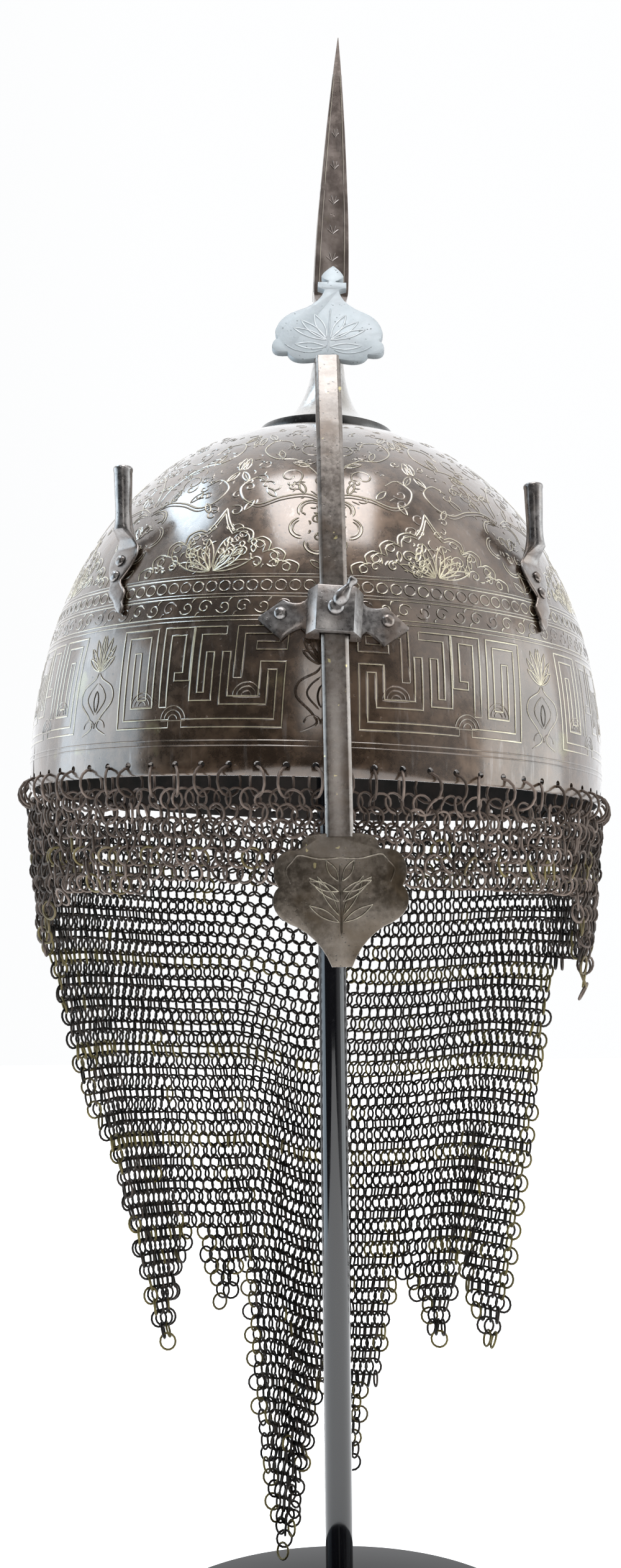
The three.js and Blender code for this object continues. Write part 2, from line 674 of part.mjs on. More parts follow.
function leafShape() {
  const half = HOLDER_LENGTH / 2;
  const rows = [
    [0.72, 1.0], [1.0, 0.62], [0.9, 0.28], [0.44, -0.16], [0.62, -0.5], [0.34, -0.86],
  ];
  const shape = new THREE.Shape();
  shape.moveTo(0, -half);
  for (const [x, y] of [...rows].reverse()) shape.lineTo(HOLDER_HALF * x, half * y);
  for (const [x, y] of rows) shape.lineTo(-HOLDER_HALF * x, half * y);
  shape.closePath();
  return shape;
}

const TUBE = [
  { radius: 1.45, along: 0.0 },
  { radius: 1.35, along: 0.07 },
  { radius: 1.0, along: 0.20 },
  { radius: 0.9, along: 0.36 },
  { radius: 1.0, along: 0.93 },
  { radius: 1.04, along: 0.98 },
  { radius: 0.9, along: 1.0 },
];

for (const { side, azimuth, tubeLean } of HOLDERS) {
  const frame = onBowl(azimuth, HOLDER_HEIGHT);
  const footFrame = onBowl(azimuth, HOLDER_HEIGHT + TUBE_RISE);
  const foot = new THREE.Vector3(0, 0, TUBE_OFF).applyMatrix4(footFrame);
  const tube = turned([
    [0, 0],
    ...TUBE.map(({ radius, along }) => [TUBE_RADIUS * radius, TUBE_LENGTH * along]),
    [TUBE_BORE, TUBE_LENGTH],
    [TUBE_BORE, TUBE_FLOOR],
    [0, TUBE_FLOOR],
  ], 14);
  const stand = new THREE.Matrix4().makeTranslation(foot.x, foot.y, foot.z)
    .multiply(new THREE.Matrix4().makeRotationY(rad(tubeLean)));
  const neck = solid(new THREE.BoxGeometry(NECK_WIDTH, NECK_LENGTH, TUBE_OFF * 1.8));
  const neckFrame = onBowl(azimuth, HOLDER_HEIGHT + TUBE_RISE - NECK_DROP);
  let holder = plateOnBowl(leafShape(), HOLDER_THICK, frame).add(moved(tube, stand));
  holder = holder.add(moved(neck, neckFrame).subtract(filledBowl(FIT)));
  for (const { name, frame: at } of rivets) {
    if (name.startsWith(`plume_rivet_${side}`)) holder = holder.subtract(moved(rivetDrill, at));
  }
  holder = holder.subtract(filledBowl(FIT));
  piece(bowlFrame, `plume_holder_${side}`, holder, bright);
}

// Mail: one woven band that hangs plumb from the leaning rim

function mailRadius(drop) {
  const share = Math.max(drop / MAIL_DROP, 0);
  return (BOWL_RADIUS - BOWL_WALL / 2) * (1 - MAIL_TAPER * share - MAIL_CURL * share * share);
}

function foldAt(azimuth, drop) {
  const share = Math.max(drop / MAIL_DROP, 0);
  return FOLDS.reduce((sum, fold) => {
    const across = (azimuth - fold.azimuth) / fold.spread;
    return sum + BOWL_RADIUS * fold.depth * share * Math.exp(-across * across);
  }, 0);
}

function hemDrop(azimuth) {
  const rows = [...HEM, { azimuth: 360, drop: HEM[0].drop }];
  const after = rows.findIndex((row) => row.azimuth > azimuth);
  if (after < 1) return HEM[0].drop * MAIL_DROP;
  const [a, b] = [rows[after - 1], rows[after]];
  const share = (azimuth - a.azimuth) / (b.azimuth - a.azimuth);
  return (a.drop + (b.drop - a.drop) * share) * MAIL_DROP;
}

function mailColumns() {
  const columns = [];
  HEM.forEach((row, i) => {
    const next = HEM[i + 1]?.azimuth ?? 360;
    const parts = Math.ceil((next - row.azimuth) / MAIL_STEP);
    for (let k = 0; k < parts; k += 1) {
      columns.push(row.azimuth + ((next - row.azimuth) * k) / parts);
    }
  });
  return columns;
}

function mailPoint(azimuth, row, side) {
  const sine = Math.sin(rad(azimuth));
  const top = BOWL_RADIUS * sine * Math.sin(rad(LEAN)) + FIT;
  const drop = top + (hemDrop(azimuth) - top) * (row / MAIL_ROWS);
  const radius = mailRadius(drop) - foldAt(azimuth, drop) + (side * MAIL_WALL) / 2;
  return [RIM_X + radius * sine, -radius * Math.cos(rad(azimuth)), RIM_HEIGHT - drop];
}

function mailGeometry() {
  const columns = mailColumns();
  const around = 2 * (MAIL_ROWS + 1);
  const positions = [];
  for (const azimuth of columns) {
    for (let row = 0; row <= MAIL_ROWS; row += 1) positions.push(...mailPoint(azimuth, row, 1));
    for (let row = MAIL_ROWS; row >= 0; row -= 1) positions.push(...mailPoint(azimuth, row, -1));
  }
  const faces = [];
  columns.forEach((_, i) => {
    const here = i * around;
    const next = ((i + 1) % columns.length) * around;
    for (let k = 0; k < around; k += 1) {
      const l = (k + 1) % around;
      faces.push(here + k, here + l, next + k, next + k, here + l, next + l);
    }
  });
  const geometry = new THREE.BufferGeometry();
  geometry.setAttribute('position', new THREE.Float32BufferAttribute(positions, 3));
  geometry.setIndex(faces);
  return geometry;
}
piece(part, 'mail_aventail', solid(mailGeometry()), wire);

export default part;
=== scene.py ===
# A kulah khud, the mail-hung steel helmet of Persia and India, on a plain display stand.
# Sizes are in millimetres, scaled to metres when a piece is placed. The front faces -Y,
# and azimuths are in degrees from the front, towards +X.
import math
import random

import bmesh
import bpy
import numpy as np
from mathutils import Matrix, Vector


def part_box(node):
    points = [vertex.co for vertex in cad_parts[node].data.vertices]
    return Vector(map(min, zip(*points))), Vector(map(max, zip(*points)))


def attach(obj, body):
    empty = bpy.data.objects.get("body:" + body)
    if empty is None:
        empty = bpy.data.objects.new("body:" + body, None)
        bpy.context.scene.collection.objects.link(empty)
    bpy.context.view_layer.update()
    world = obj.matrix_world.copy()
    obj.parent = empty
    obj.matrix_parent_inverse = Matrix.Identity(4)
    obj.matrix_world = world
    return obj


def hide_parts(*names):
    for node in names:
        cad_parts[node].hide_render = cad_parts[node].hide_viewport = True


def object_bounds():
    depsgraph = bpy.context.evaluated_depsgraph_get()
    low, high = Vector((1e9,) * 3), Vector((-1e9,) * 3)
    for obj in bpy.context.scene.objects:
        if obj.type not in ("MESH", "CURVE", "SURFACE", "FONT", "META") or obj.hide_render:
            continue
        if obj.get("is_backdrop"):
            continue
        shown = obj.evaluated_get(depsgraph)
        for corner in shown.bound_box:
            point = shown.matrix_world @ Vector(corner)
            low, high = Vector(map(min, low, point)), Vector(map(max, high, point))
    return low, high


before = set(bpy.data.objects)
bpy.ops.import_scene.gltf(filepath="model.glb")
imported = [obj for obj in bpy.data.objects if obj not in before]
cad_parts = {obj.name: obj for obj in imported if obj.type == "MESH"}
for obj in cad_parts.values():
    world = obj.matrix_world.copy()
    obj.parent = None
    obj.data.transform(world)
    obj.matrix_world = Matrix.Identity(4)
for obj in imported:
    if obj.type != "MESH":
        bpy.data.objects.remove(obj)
cad_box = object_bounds()

# Camera. The photograph is taken from 60 cm away, level, at the height of the upper mail,
# and the camera is rolled a little, so that the post leans in the picture.
EYE = Vector((-7.65, -600.0, 259.6))
ROLL = 0.68
FOCAL_SHARE = 2700 / 2523          # focal length over the picture's height
HORIZON_SHARE = 228.5 / 2523       # how far the horizon lies under the picture's middle

camera = bpy.data.objects.new("photo_camera", bpy.data.cameras.new("photo_camera"))
camera.data.sensor_width = 36
camera.data.lens = 36 * FOCAL_SHARE
camera.data.shift_y = HORIZON_SHARE
camera.data.clip_start = 0.01
camera.location = EYE / 1000
camera.rotation_euler = (math.pi / 2, math.radians(ROLL), 0)
bpy.context.collection.objects.link(camera)
bpy.context.scene.camera = camera

# Studio. A pale table and a white room: a window on the left, a lamp overhead, a paler
# wall on the right, and the dim side of the room behind the camera.
bpy.context.scene.view_settings.view_transform = "Standard"


class Signal:
    """A shader socket that takes part in plain sums."""

    def __init__(self, paint, socket):
        self.paint, self.socket = paint, socket

    def maths(self, operation, first, second=0.0, clamp=False):
        node = self.paint.add(
            "ShaderNodeMath", {"operation": operation, "use_clamp": clamp}, {0: first, 1: second}
        )
        return Signal(self.paint, node.outputs[0])

    def __add__(self, other):
        return self.maths("ADD", self, other)

    def __sub__(self, other):
        return self.maths("SUBTRACT", self, other)

    def __rsub__(self, other):
        return self.maths("SUBTRACT", other, self)

    def __mul__(self, other):
        return self.maths("MULTIPLY", self, other)

    def __truediv__(self, other):
        return self.maths("DIVIDE", self, other)

    def __pow__(self, other):
        return self.maths("POWER", self, other)

    def __abs__(self):
        return self.maths("ABSOLUTE", self)

    def least(self, other):
        return self.maths("MINIMUM", self, other)

    def most(self, other):
        return self.maths("MAXIMUM", self, other)

    def between(self, low, high, start=0.0, end=1.0):
        """Goes smoothly from start to end while this goes from low to high."""
        node = self.paint.add(
            "ShaderNodeMapRange",
            {"interpolation_type": "SMOOTHSTEP", "clamp": True},
            {0: self, 1: low, 2: high, 3: start, 4: end},
        )
        return Signal(self.paint, node.outputs[0])

    __radd__ = __add__
    __rmul__ = __mul__


class Paint:
    """The nodes of one material, or of the world."""

    def __init__(self, owner):
        owner.use_nodes = True
        self.owner, self.tree = owner, owner.node_tree
        self.tree.nodes.clear()

    def add(self, kind, settings=None, sockets=None):
        """A node of a kind: its settings are made first, then its sockets."""
        node = self.tree.nodes.new(kind)
        for key, value in (settings or {}).items():
            if key == "stops":
                while len(node.color_ramp.elements) < len(value):
                    node.color_ramp.elements.new(1.0)
                for element, (place, colour) in zip(node.color_ramp.elements, value):
                    element.position, element.color = place, (*colour, 1.0)
            else:
                setattr(node, key, value)
        for key, value in (sockets or {}).items():
            if isinstance(value, Signal):
                self.tree.links.new(value.socket, node.inputs[key])
            elif isinstance(value, tuple) and len(value) == 3 and node.inputs[key].type == "RGBA":
                node.inputs[key].default_value = (*value, 1.0)
            else:
                node.inputs[key].default_value = value
        return node

    def place(self, scale=(1.0, 1.0, 1.0)):
        """Object coordinates, stretched along each axis."""
        where = Signal(self, self.add("ShaderNodeTexCoord").outputs["Object"])
        node = self.add("ShaderNodeMapping", {}, {"Vector": where, "Scale": scale})
        return Signal(self, node.outputs[0])

    def noise(self, where, grain, detail=4.0, rough=0.55, warp=0.0):
        """Cloudy noise from 0 to 1, with a grain of so many millimetres."""
        node = self.add("ShaderNodeTexNoise", {}, {
            "Vector": where, "Scale": 1000 / grain, "Detail": detail,
            "Roughness": rough, "Distortion": warp,
        })
        return Signal(self, node.outputs[0])

    def cells(self, where, grain, feature="F1"):
        node = self.add(
            "ShaderNodeTexVoronoi", {"feature": feature}, {"Vector": where, "Scale": 1000 / grain}
        )
        return Signal(self, node.outputs[0])

    def axis(self, where, index):
        node = self.add("ShaderNodeSeparateXYZ", {}, {0: where})
        return Signal(self, node.outputs[index])

    def trait(self, name):
        """A value that the mesh holds for each of its points."""
        node = self.add("ShaderNodeAttribute", {"attribute_name": name})
        return Signal(self, node.outputs["Fac"])

    def mix(self, share, first, second):
        node = self.add(
            "ShaderNodeMix", {"data_type": "RGBA", "clamp_factor": True},
            {0: share, 6: first, 7: second},
        )
        return Signal(self, node.outputs[2])

    def bump(self, height, depth, under=None):
        sockets = {"Height": height, "Distance": depth / 1000, "Strength": 1.0}
        if under:
            sockets["Normal"] = under
        return Signal(self, self.add("ShaderNodeBump", {}, sockets).outputs[0])

    def surface(self, **sockets):
        names = {key: key.replace("_", " ").title().replace("Ior", "IOR") for key in sockets}
        shader = self.add(
            "ShaderNodeBsdfPrincipled", {}, {names[key]: value for key, value in sockets.items()}
        )
        self.add("ShaderNodeOutputMaterial", {}, {0: Signal(self, shader.outputs[0])})
        return self.owner


room = bpy.data.worlds.new("white_room")
bpy.context.scene.world = room
paint = Paint(room)
heading = Signal(paint, paint.add("ShaderNodeTexCoord").outputs["Generated"])
ahead = paint.axis(heading, 1).between(-0.30, 0.60, 0.035, 1.3)
sideways = paint.axis(heading, 0).between(0.30, 0.85, 0.0, 0.62)
upward = paint.axis(heading, 2).between(0.15, 0.9, 0.0, 0.28)
glow = ahead.most(sideways) + upward
lit = Signal(paint, paint.add(
    "ShaderNodeBackground", {}, {"Color": (0.97, 0.98, 1.0), "Strength": glow}
).outputs[0])
seen = Signal(paint, paint.add(
    "ShaderNodeBackground", {}, {
        "Color": (0.99, 0.995, 1.0), "Strength": paint.axis(heading, 0).between(-0.24, -0.06, 0.98, 1.0)}
).outputs[0])
view_ray = Signal(paint, paint.add("ShaderNodeLightPath").outputs["Is Camera Ray"])
both = Signal(paint, paint.add("ShaderNodeMixShader", {}, {0: view_ray, 1: lit, 2: seen}).outputs[0])
paint.add("ShaderNodeOutputWorld", {}, {0: both})

LAMPS = {
    "window_left": ((-1300, 60, 330), (1100, 1400), (0.70, 0.86, 1.0), 14),
    "window_high": ((-540, 100, 1170), (460, 170), (0.66, 0.84, 1.0), 2.0),
    "lamp_overhead": ((20, -240, 1250), (520, 560), (0.97, 0.98, 1.0), 6.2),
    "wall_right": ((1400, -100, 350), (1100, 1300), (0.90, 0.97, 1.0), 11),
    "wall_right_high": ((1050, -500, 1200), (1300, 1100), (1.0, 0.98, 0.96), 4),
    "front_fill": ((-10, -1700, 950), (300, 500), (1.0, 0.97, 0.94), 1.5),
}
for name, (where, size, colour, watts) in LAMPS.items():
    lamp = bpy.data.lights.new(name, "AREA")
    lamp.shape, lamp.size, lamp.size_y = "RECTANGLE", size[0] / 1000, size[1] / 1000
    lamp.color, lamp.energy = colour, watts
    lamp_object = bpy.data.objects.new(name, lamp)
    lamp_object.location = Vector(where) / 1000
    aim = Vector((0, 0, 0.32)) - lamp_object.location
    lamp_object.rotation_euler = aim.to_track_quat("-Z", "Y").to_euler()
    lamp_object.visible_camera = False
    bpy.context.collection.objects.link(lamp_object)

bm = bmesh.new()
corners = [bm.verts.new((x, y, -0.0004)) for x, y in ((-0.6, -2.8), (0.6, -2.8), (0.6, 2.6), (-0.6, 2.6))]
bm.faces.new(corners)
table = bpy.data.objects.new("studio_table", bpy.data.meshes.new("studio_table"))
bm.to_mesh(table.data)
bm.free()
paint = Paint(bpy.data.materials.new("table_white"))
table.data.materials.append(paint.surface(
    base_color=(0.9, 0.9, 0.9), roughness=0.6, emission_color=(1.0, 1.0, 1.0), emission_strength=1.0,
))
bpy.context.collection.objects.link(table)
table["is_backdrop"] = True

# Stand. A round base and a post in glossy black lacquer; the post stands in the base and
# carries a small support under the crown, which the bowl hides.
BASE_RADIUS = 72.0
BASE_THICK = 12.0
BASE_EDGE = 1.5
POST_RADIUS = 4.9
POST_FOOT = 6.3
BODY = "helmet_and_stand"


def turned(profile, steps):
    """A closed turned mesh in millimetres from [radius, height] pairs, axis to axis."""
    mesh = bmesh.new()
    points = [mesh.verts.new((radius, 0, height)) for radius, height in profile]
    chain = [
        mesh.edges.new(pair) for pair in zip(points, points[1:]) if pair[0].co.x or pair[1].co.x]
    bmesh.ops.spin(
        mesh, geom=points + chain, cent=(0, 0, 0), axis=(0, 0, 1),
        angle=2 * math.pi, steps=steps, use_merge=True,
    )
    bmesh.ops.remove_doubles(mesh, verts=mesh.verts, dist=0.0005)
    bmesh.ops.dissolve_degenerate(mesh, edges=mesh.edges, dist=0.0001)
    bmesh.ops.recalc_face_normals(mesh, faces=mesh.faces)
    return mesh


def rounded(profile, reach, steps=3):
    """The profile with each inner corner cut back by up to reach and rounded."""
    points = [Vector(pair) for pair in profile]
    smooth = [points[0]]
    for before, here, after in zip(points, points[1:], points[2:]):
        back, onward = before - here, after - here
        cut = min(reach, back.length * 0.45, onward.length * 0.45)
        start, end = here + back.normalized() * cut, here + onward.normalized() * cut
        for k in range(steps + 1):
            t = k / steps
            smooth.append(start * (1 - t) ** 2 + here * 2 * t * (1 - t) + end * t * t)
    return [tuple(point) for point in smooth + [points[-1]]]


def placed(name, mesh, matrix, material, sharp=32.0):
    """A piece at the origin, with its place in its mesh, creased where faces turn sharply."""
    bmesh.ops.transform(mesh, matrix=Matrix.Scale(0.001, 4) @ matrix, verts=mesh.verts)
    for face in mesh.faces:
        face.smooth = True
    for edge in mesh.edges:
        edge.smooth = edge.calc_face_angle(0.0) < math.radians(sharp)
    data = bpy.data.meshes.new(name)
    mesh.to_mesh(data)
    mesh.free()
    data.materials.append(material)
    obj = bpy.data.objects.new(name, data)
    bpy.context.collection.objects.link(obj)
    return obj


def belongs(obj, body, slot, *nodes):
    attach(obj, body)
    if nodes:
        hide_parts(*nodes)
    return obj


def black_lacquer(name, shine):
    """Glossy black lacquer with faint smears and specks of dust."""
    paint = Paint(bpy.data.materials.new(name))
    place = paint.place()
    smear = paint.noise(place, 30, 3)
    dust = paint.noise(place, 1.4, 2).between(0.62, 0.78)
    return paint.surface(
        base_color=paint.mix(dust * 0.10, (0.004, 0.004, 0.005), (0.05, 0.05, 0.055)),
        roughness=smear.between(0.3, 0.8, 0.05, 0.12) + dust * 0.05,
        normal=paint.bump(paint.noise(place, 14, 2), 0.02),
        specular_ior_level=shine,
    )


lacquer = black_lacquer("base_lacquer", 0.10)
post_lacquer = black_lacquer("post_lacquer", 0.72)

BASE_PROFILE = [
    (0, 0),
    (BASE_RADIUS - BASE_EDGE, 0),
    (BASE_RADIUS, BASE_EDGE),
    (BASE_RADIUS, BASE_THICK - BASE_EDGE),
    (BASE_RADIUS - BASE_EDGE, BASE_THICK),
    (POST_RADIUS + 0.3, BASE_THICK),
    (POST_RADIUS + 0.3, POST_FOOT - 0.3),
    (0, POST_FOOT - 0.3),
]
base = placed("base_disc", turned(rounded(BASE_PROFILE, 0.7), 160), Matrix(), lacquer)
belongs(base, BODY, "stand_black", "stand_base")

post_low, post_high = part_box("stand_post")
post_top = post_high.z * 1000
post_profile = rounded(
    [(0, POST_FOOT), (POST_RADIUS, POST_FOOT), (POST_RADIUS, post_top), (0, post_top)], 0.6)
post = placed("post_rod", turned(post_profile, 72), Matrix(), post_lacquer)
belongs(post, BODY, "stand_black", "stand_post")

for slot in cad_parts["stand_cradle"].material_slots:
    slot.material = lacquer

# Bowl. One piece of russet-brown steel, raised to a full dome and pierced round the rim for
# the mail's rings. It leans a little on the stand, and a crack runs up from the left rim.
BOWL_RADIUS = 101.0
BOWL_HEIGHT = 131.0
BOWL_FULLNESS = 2.2
BOWL_WALL = 1.8
RIM_HEIGHT = 304.0
LEAN = math.radians(2.4)
YAW = math.radians(2.4)
RIM_X = -BOWL_HEIGHT * math.sin(LEAN)
RIM_HOLES = 72
HOLE_RADIUS = 1.05
HOLE_RISE = 3.2
FIT = 0.3

bowl_place = (
    Matrix.Translation((RIM_X, 0, RIM_HEIGHT)) @ Matrix.Rotation(LEAN, 4, "Y")
    @ Matrix.Rotation(YAW, 4, "Z")
)


def bowl_outline(turn, offset=0.0):
    """Radius and height of the bowl's outline, and its normal; turn runs from rim to crown."""
    power = 2 / BOWL_FULLNESS
    radius = BOWL_RADIUS * np.maximum(np.cos(turn), 0.0) ** power
    height = BOWL_HEIGHT * np.sin(turn) ** power
    normal = np.stack([
        (radius / BOWL_RADIUS) ** (BOWL_FULLNESS - 1) / BOWL_RADIUS,
        (height / BOWL_HEIGHT) ** (BOWL_FULLNESS - 1) / BOWL_HEIGHT,
    ])
    normal /= np.linalg.norm(normal, axis=0)
    return radius + normal[0] * offset, height + normal[1] * offset, normal


fine_turns = np.linspace(0, math.pi / 2, 1200)
fine_radius, fine_height, _ = bowl_outline(fine_turns)
fine_rise = np.concatenate([[0], np.cumsum(np.hypot(np.diff(fine_radius), np.diff(fine_height)))])


def rise_at(height):
    """The way up the bowl's surface from the rim to a height over the rim."""
    return float(np.interp(height, fine_height, fine_rise))


def on_bowl(azimuth, rise, lift=0.0):
    """Points on the bowl's outside and their normals, by azimuth and way up the surface."""
    turn = np.interp(rise, fine_rise, fine_turns)
    below = np.minimum(np.asarray(rise, float), 0.0)
    radius, height, normal = bowl_outline(turn, lift)
    angle = np.radians(azimuth)
    points = np.stack([radius * np.sin(angle), -radius * np.cos(angle), height + below], -1)
    normals = np.stack([normal[0] * np.sin(angle), -normal[0] * np.cos(angle), normal[1]], -1)
    return points, normals


def solidly(obj, tool, operation="DIFFERENCE"):
    """Cuts a tool out of a piece, or joins it on, and removes the tool."""
    modifier = obj.modifiers.new("carve", "BOOLEAN")
    modifier.object, modifier.operation, modifier.solver = tool, operation, "EXACT"
    graph = bpy.context.evaluated_depsgraph_get()
    data = bpy.data.meshes.new_from_object(obj.evaluated_get(graph))
    obj.modifiers.clear()
    obj.data = data
    bpy.data.objects.remove(tool)
    return obj


def creased(obj, sharp=32.0):
    mesh = bmesh.new()
    mesh.from_mesh(obj.data)
    for face in mesh.faces:
        face.smooth = True
    for edge in mesh.edges:
        edge.smooth = edge.calc_face_angle(0.0) < math.radians(sharp)
    mesh.to_mesh(obj.data)
    mesh.free()
    return obj


def russet_steel(name, dark, light, gleam):
    """Brown patinated steel: clouds, drag marks, pits and stains, and pale cut lines with painted shade along their
    edges.
    """
    paint = Paint(bpy.data.materials.new(name))
    place = paint.place()
    cloud = paint.noise(place, 34, 5, 0.6, 0.3)
    mottle = paint.noise(place, 4.5, 5, 0.65)
    drag = paint.noise(paint.place((1.0, 1.0, 0.12)), 3.0, 4, 0.7)
    pits = paint.cells(place, 2.6).between(0.05, 0.18, 1.0, 0.0) * mottle.between(0.45, 0.62)
    tone = (cloud * 0.6 + mottle * 0.4).between(0.38, 0.66)
    colour = paint.mix(tone, dark, light)
    colour = paint.mix(drag.between(0.55, 0.75) * 0.35, colour, (0.30, 0.27, 0.25))
    olive = paint.noise(place, 19, 3).between(0.66, 0.74) * 0.55
    colour = paint.mix(olive, colour, (0.16, 0.14, 0.06))
    colour = paint.mix(pits * 0.6, colour, (0.02, 0.015, 0.012))
    line = paint.trait("cut_line")
    wear = paint.noise(place, 3.2, 3, 0.6) * 0.75 + paint.noise(place, 16, 3, 0.6) * 0.75
    shown = (line * 2.1 - wear).between(0.0, 0.42)
    # Painted shade: where a line's value is below zero, at its edges, the colour is darkened as the shadow of a
    # chiselled groove.
    colour = paint.mix((0.0 - line).between(0.06, 0.40) * 0.8, colour, (0.010, 0.007, 0.005))
    colour = paint.mix(shown * 0.85, colour, (0.52, 0.47, 0.32))
    rough = 0.22 + tone * 0.10 + mottle.between(0.4, 0.7) * 0.10 + pits * 0.2 + shown * 0.08
    height = mottle * 0.7 + drag * 0.3 - pits * 1.5 + paint.noise(place, 4.5, 3) * 1.2
    wave = paint.bump(paint.noise(place, 22, 2, 0.4) + paint.noise(place, 8.5, 2, 0.4) * 0.25, 0.45)
    return paint.surface(
        base_color=colour, roughness=rough - gleam, metallic=0.72 - pits * 0.3,
        coat_weight=0.9, coat_roughness=0.15, coat_ior=1.75, normal=paint.bump(height, 0.075, wave),
    )


bowl_steel = russet_steel("russet_steel", (0.046, 0.027, 0.015), (0.130, 0.083, 0.052), 0.0)

OUTER_ROWS = 60
INNER_ROWS = 36
profile = [(BOWL_RADIUS - BOWL_WALL + 0.35, 0.0), (BOWL_RADIUS - 0.35, 0.0)]
for k in range(OUTER_ROWS):
    radius, height, _ = bowl_outline(np.array(max(k, 0.12) / OUTER_ROWS * math.pi / 2))
    profile.append((float(radius), float(height)))
profile.append((0.0, BOWL_HEIGHT))
within = [(0.0, BOWL_HEIGHT - BOWL_WALL)]
for k in range(INNER_ROWS - 1, -1, -1):
    radius, height, _ = bowl_outline(np.array(max(k, 0.12) / INNER_ROWS * math.pi / 2), -BOWL_WALL)
    within.append((float(radius), float(height)))
ring = profile + within + [profile[0]]
bowl = placed("bowl_shell", turned(ring, 216), Matrix(), bowl_steel)

bm = bmesh.new()
for k in range(RIM_HOLES):
    azimuth = (k + 0.5) * 360 / RIM_HOLES
    point, normal = on_bowl(azimuth, HOLE_RISE)
    turn = Vector(normal).to_track_quat("Z", "Y").to_matrix().to_4x4()
    bmesh.ops.create_cone(
        bm, cap_ends=True, segments=14, radius1=HOLE_RADIUS, radius2=HOLE_RADIUS, depth=8,
        matrix=Matrix.Translation(Vector(point)) @ turn,
    )
holes = placed("holes", bm, Matrix(), bowl_steel)
solidly(bowl, holes)
bm = bmesh.new()
CRACK = [(-73.5, -1.0, 1.9), (-73.2, 3.5, 1.7), (-74.0, 8.0, 1.2), (-73.6, 11.5, 0.8), (-74.3, 14.5, 0.2)]
left_side, right_side = [], []
for azimuth, rise, width in CRACK:
    half = width / 2 / BOWL_RADIUS * 180 / math.pi
    for side, chain in ((-half, left_side), (half, right_side)):
        point, normal = on_bowl(azimuth + side, rise)
        chain.append((bm.verts.new(point + normal * 4), bm.verts.new(point - normal * 5)))
for (a, b), (c, d) in zip(zip(left_side, left_side[1:]), zip(right_side, right_side[1:])):
    bm.faces.new((a[0], c[0], d[0], b[0]))
    bm.faces.new((a[1], b[1], d[1], c[1]))
    bm.faces.new((a[0], b[0], b[1], a[1]))
    bm.faces.new((c[0], c[1], d[1], d[0]))
bm.faces.new((left_side[0][0], left_side[0][1], right_side[0][1], right_side[0][0]))
bm.faces.new((left_side[-1][0], right_side[-1][0], right_side[-1][1], left_side[-1][1]))
bmesh.ops.recalc_face_normals(bm, faces=bm.faces)
creased(solidly(bowl, placed("crack", bm, Matrix(), bowl_steel)))
paint = Paint(bpy.data.materials.new("bowl_inside"))
place = paint.place()
grime = paint.noise(place, 12, 5, 0.6)
bowl.data.materials.append(paint.surface(
    base_color=paint.mix(grime.between(0.35, 0.65), (0.006, 0.005, 0.004), (0.022, 0.016, 0.013)),
    roughness=0.5 + grime * 0.2, metallic=0.4, normal=paint.bump(paint.noise(place, 2.5, 4), 0.12),
))
for face in bowl.data.polygons:
    middle = face.center
    if middle.x * face.normal.x + middle.y * face.normal.y + middle.z * face.normal.z < -0.01:
        face.material_index = 1
bowl.data.transform(Matrix.Scale(0.001, 4) @ bowl_place @ Matrix.Scale(1000, 4))
belongs(bowl, BODY, "bowl_steel", "bowl")

# Cut ornament of the bowl. Fine lines are cut into the steel and show pale; each is a
# shallow V, drawn here as a hair-thin strip that follows the surface, with painted shade
# along its edges.
LINE_LIFT = 0.015
LINE_CROWN = 0.12
ORNAMENT_TURN = -1.9               # the pattern's middle, in degrees from the bowl's front
BORDER_RISE = rise_at(47.0)        # the fret's band ends here
FOLD = 8                           # the pattern repeats eight times round
PITCH = 360 / FOLD
chance = random.Random(7)


def strip(points, normals, width, fresh, strips):
    """One cut line: its two edges and its middle, with a taper at both ends."""
    points = np.asarray(points, float)
    along = np.gradient(points, axis=0)
    along /= np.maximum(np.linalg.norm(along, axis=1, keepdims=True), 1e-9)
    side = np.cross(along, normals)
    side /= np.maximum(np.linalg.norm(side, axis=1, keepdims=True), 1e-9)
    share = np.linspace(0, 1, len(points))
    half = width * 0.78 * np.clip(np.minimum(share, 1 - share) * 9 + 0.35, 0.35, 1.0)[:, None]
    low = points + normals * LINE_LIFT
    rows = np.stack([low - side * half, points + normals * LINE_CROWN, low + side * half], 1)
    strips.append((rows, fresh))


def smooth_path(points, step):
    """Points close together on a smooth curve through the given ones."""
    points = np.asarray(points, float)
    if len(points) == 2:
        count = max(2, int(np.linalg.norm(points[1] - points[0]) / step) + 1)
        return points[0] + (points[1] - points[0]) * np.linspace(0, 1, count)[:, None]
    ends = np.vstack([2 * points[0] - points[1], points, 2 * points[-1] - points[-2]])
    out = []
    for a, b, c, d in zip(ends, ends[1:], ends[2:], ends[3:]):
        count = max(2, int(np.linalg.norm(c - b) / step) + 1)
        t = np.linspace(0, 1, count, endpoint=False)[:, None]
        out.append(0.5 * (
            2 * b + (c - a) * t + (2 * a - 5 * b + 4 * c - d) * t ** 2
            + (3 * b - a - 3 * c + d) * t ** 3))
    return np.vstack(out + [points[-1:]])


def straight_path(points, step):
    """Points close together on straight runs between the given ones."""
    runs = [smooth_path(pair, step)[:-1] for pair in zip(points, points[1:])]
    return np.vstack(runs + [np.asarray(points[-1:], float)])


def side_path(points, off):
    """The path shifted sideways, with its corners kept sharp."""
    points = np.asarray(points, float)
    run = np.diff(points, axis=0)
    run /= np.linalg.norm(run, axis=1, keepdims=True)
    out = np.stack([-run[:, 1], run[:, 0]], 1)
    first, last = np.vstack([out[:1], out]), np.vstack([out, out[-1:]])
    share = 1 + np.sum(first * last, axis=1, keepdims=True)
    return points + (first + last) / share * off


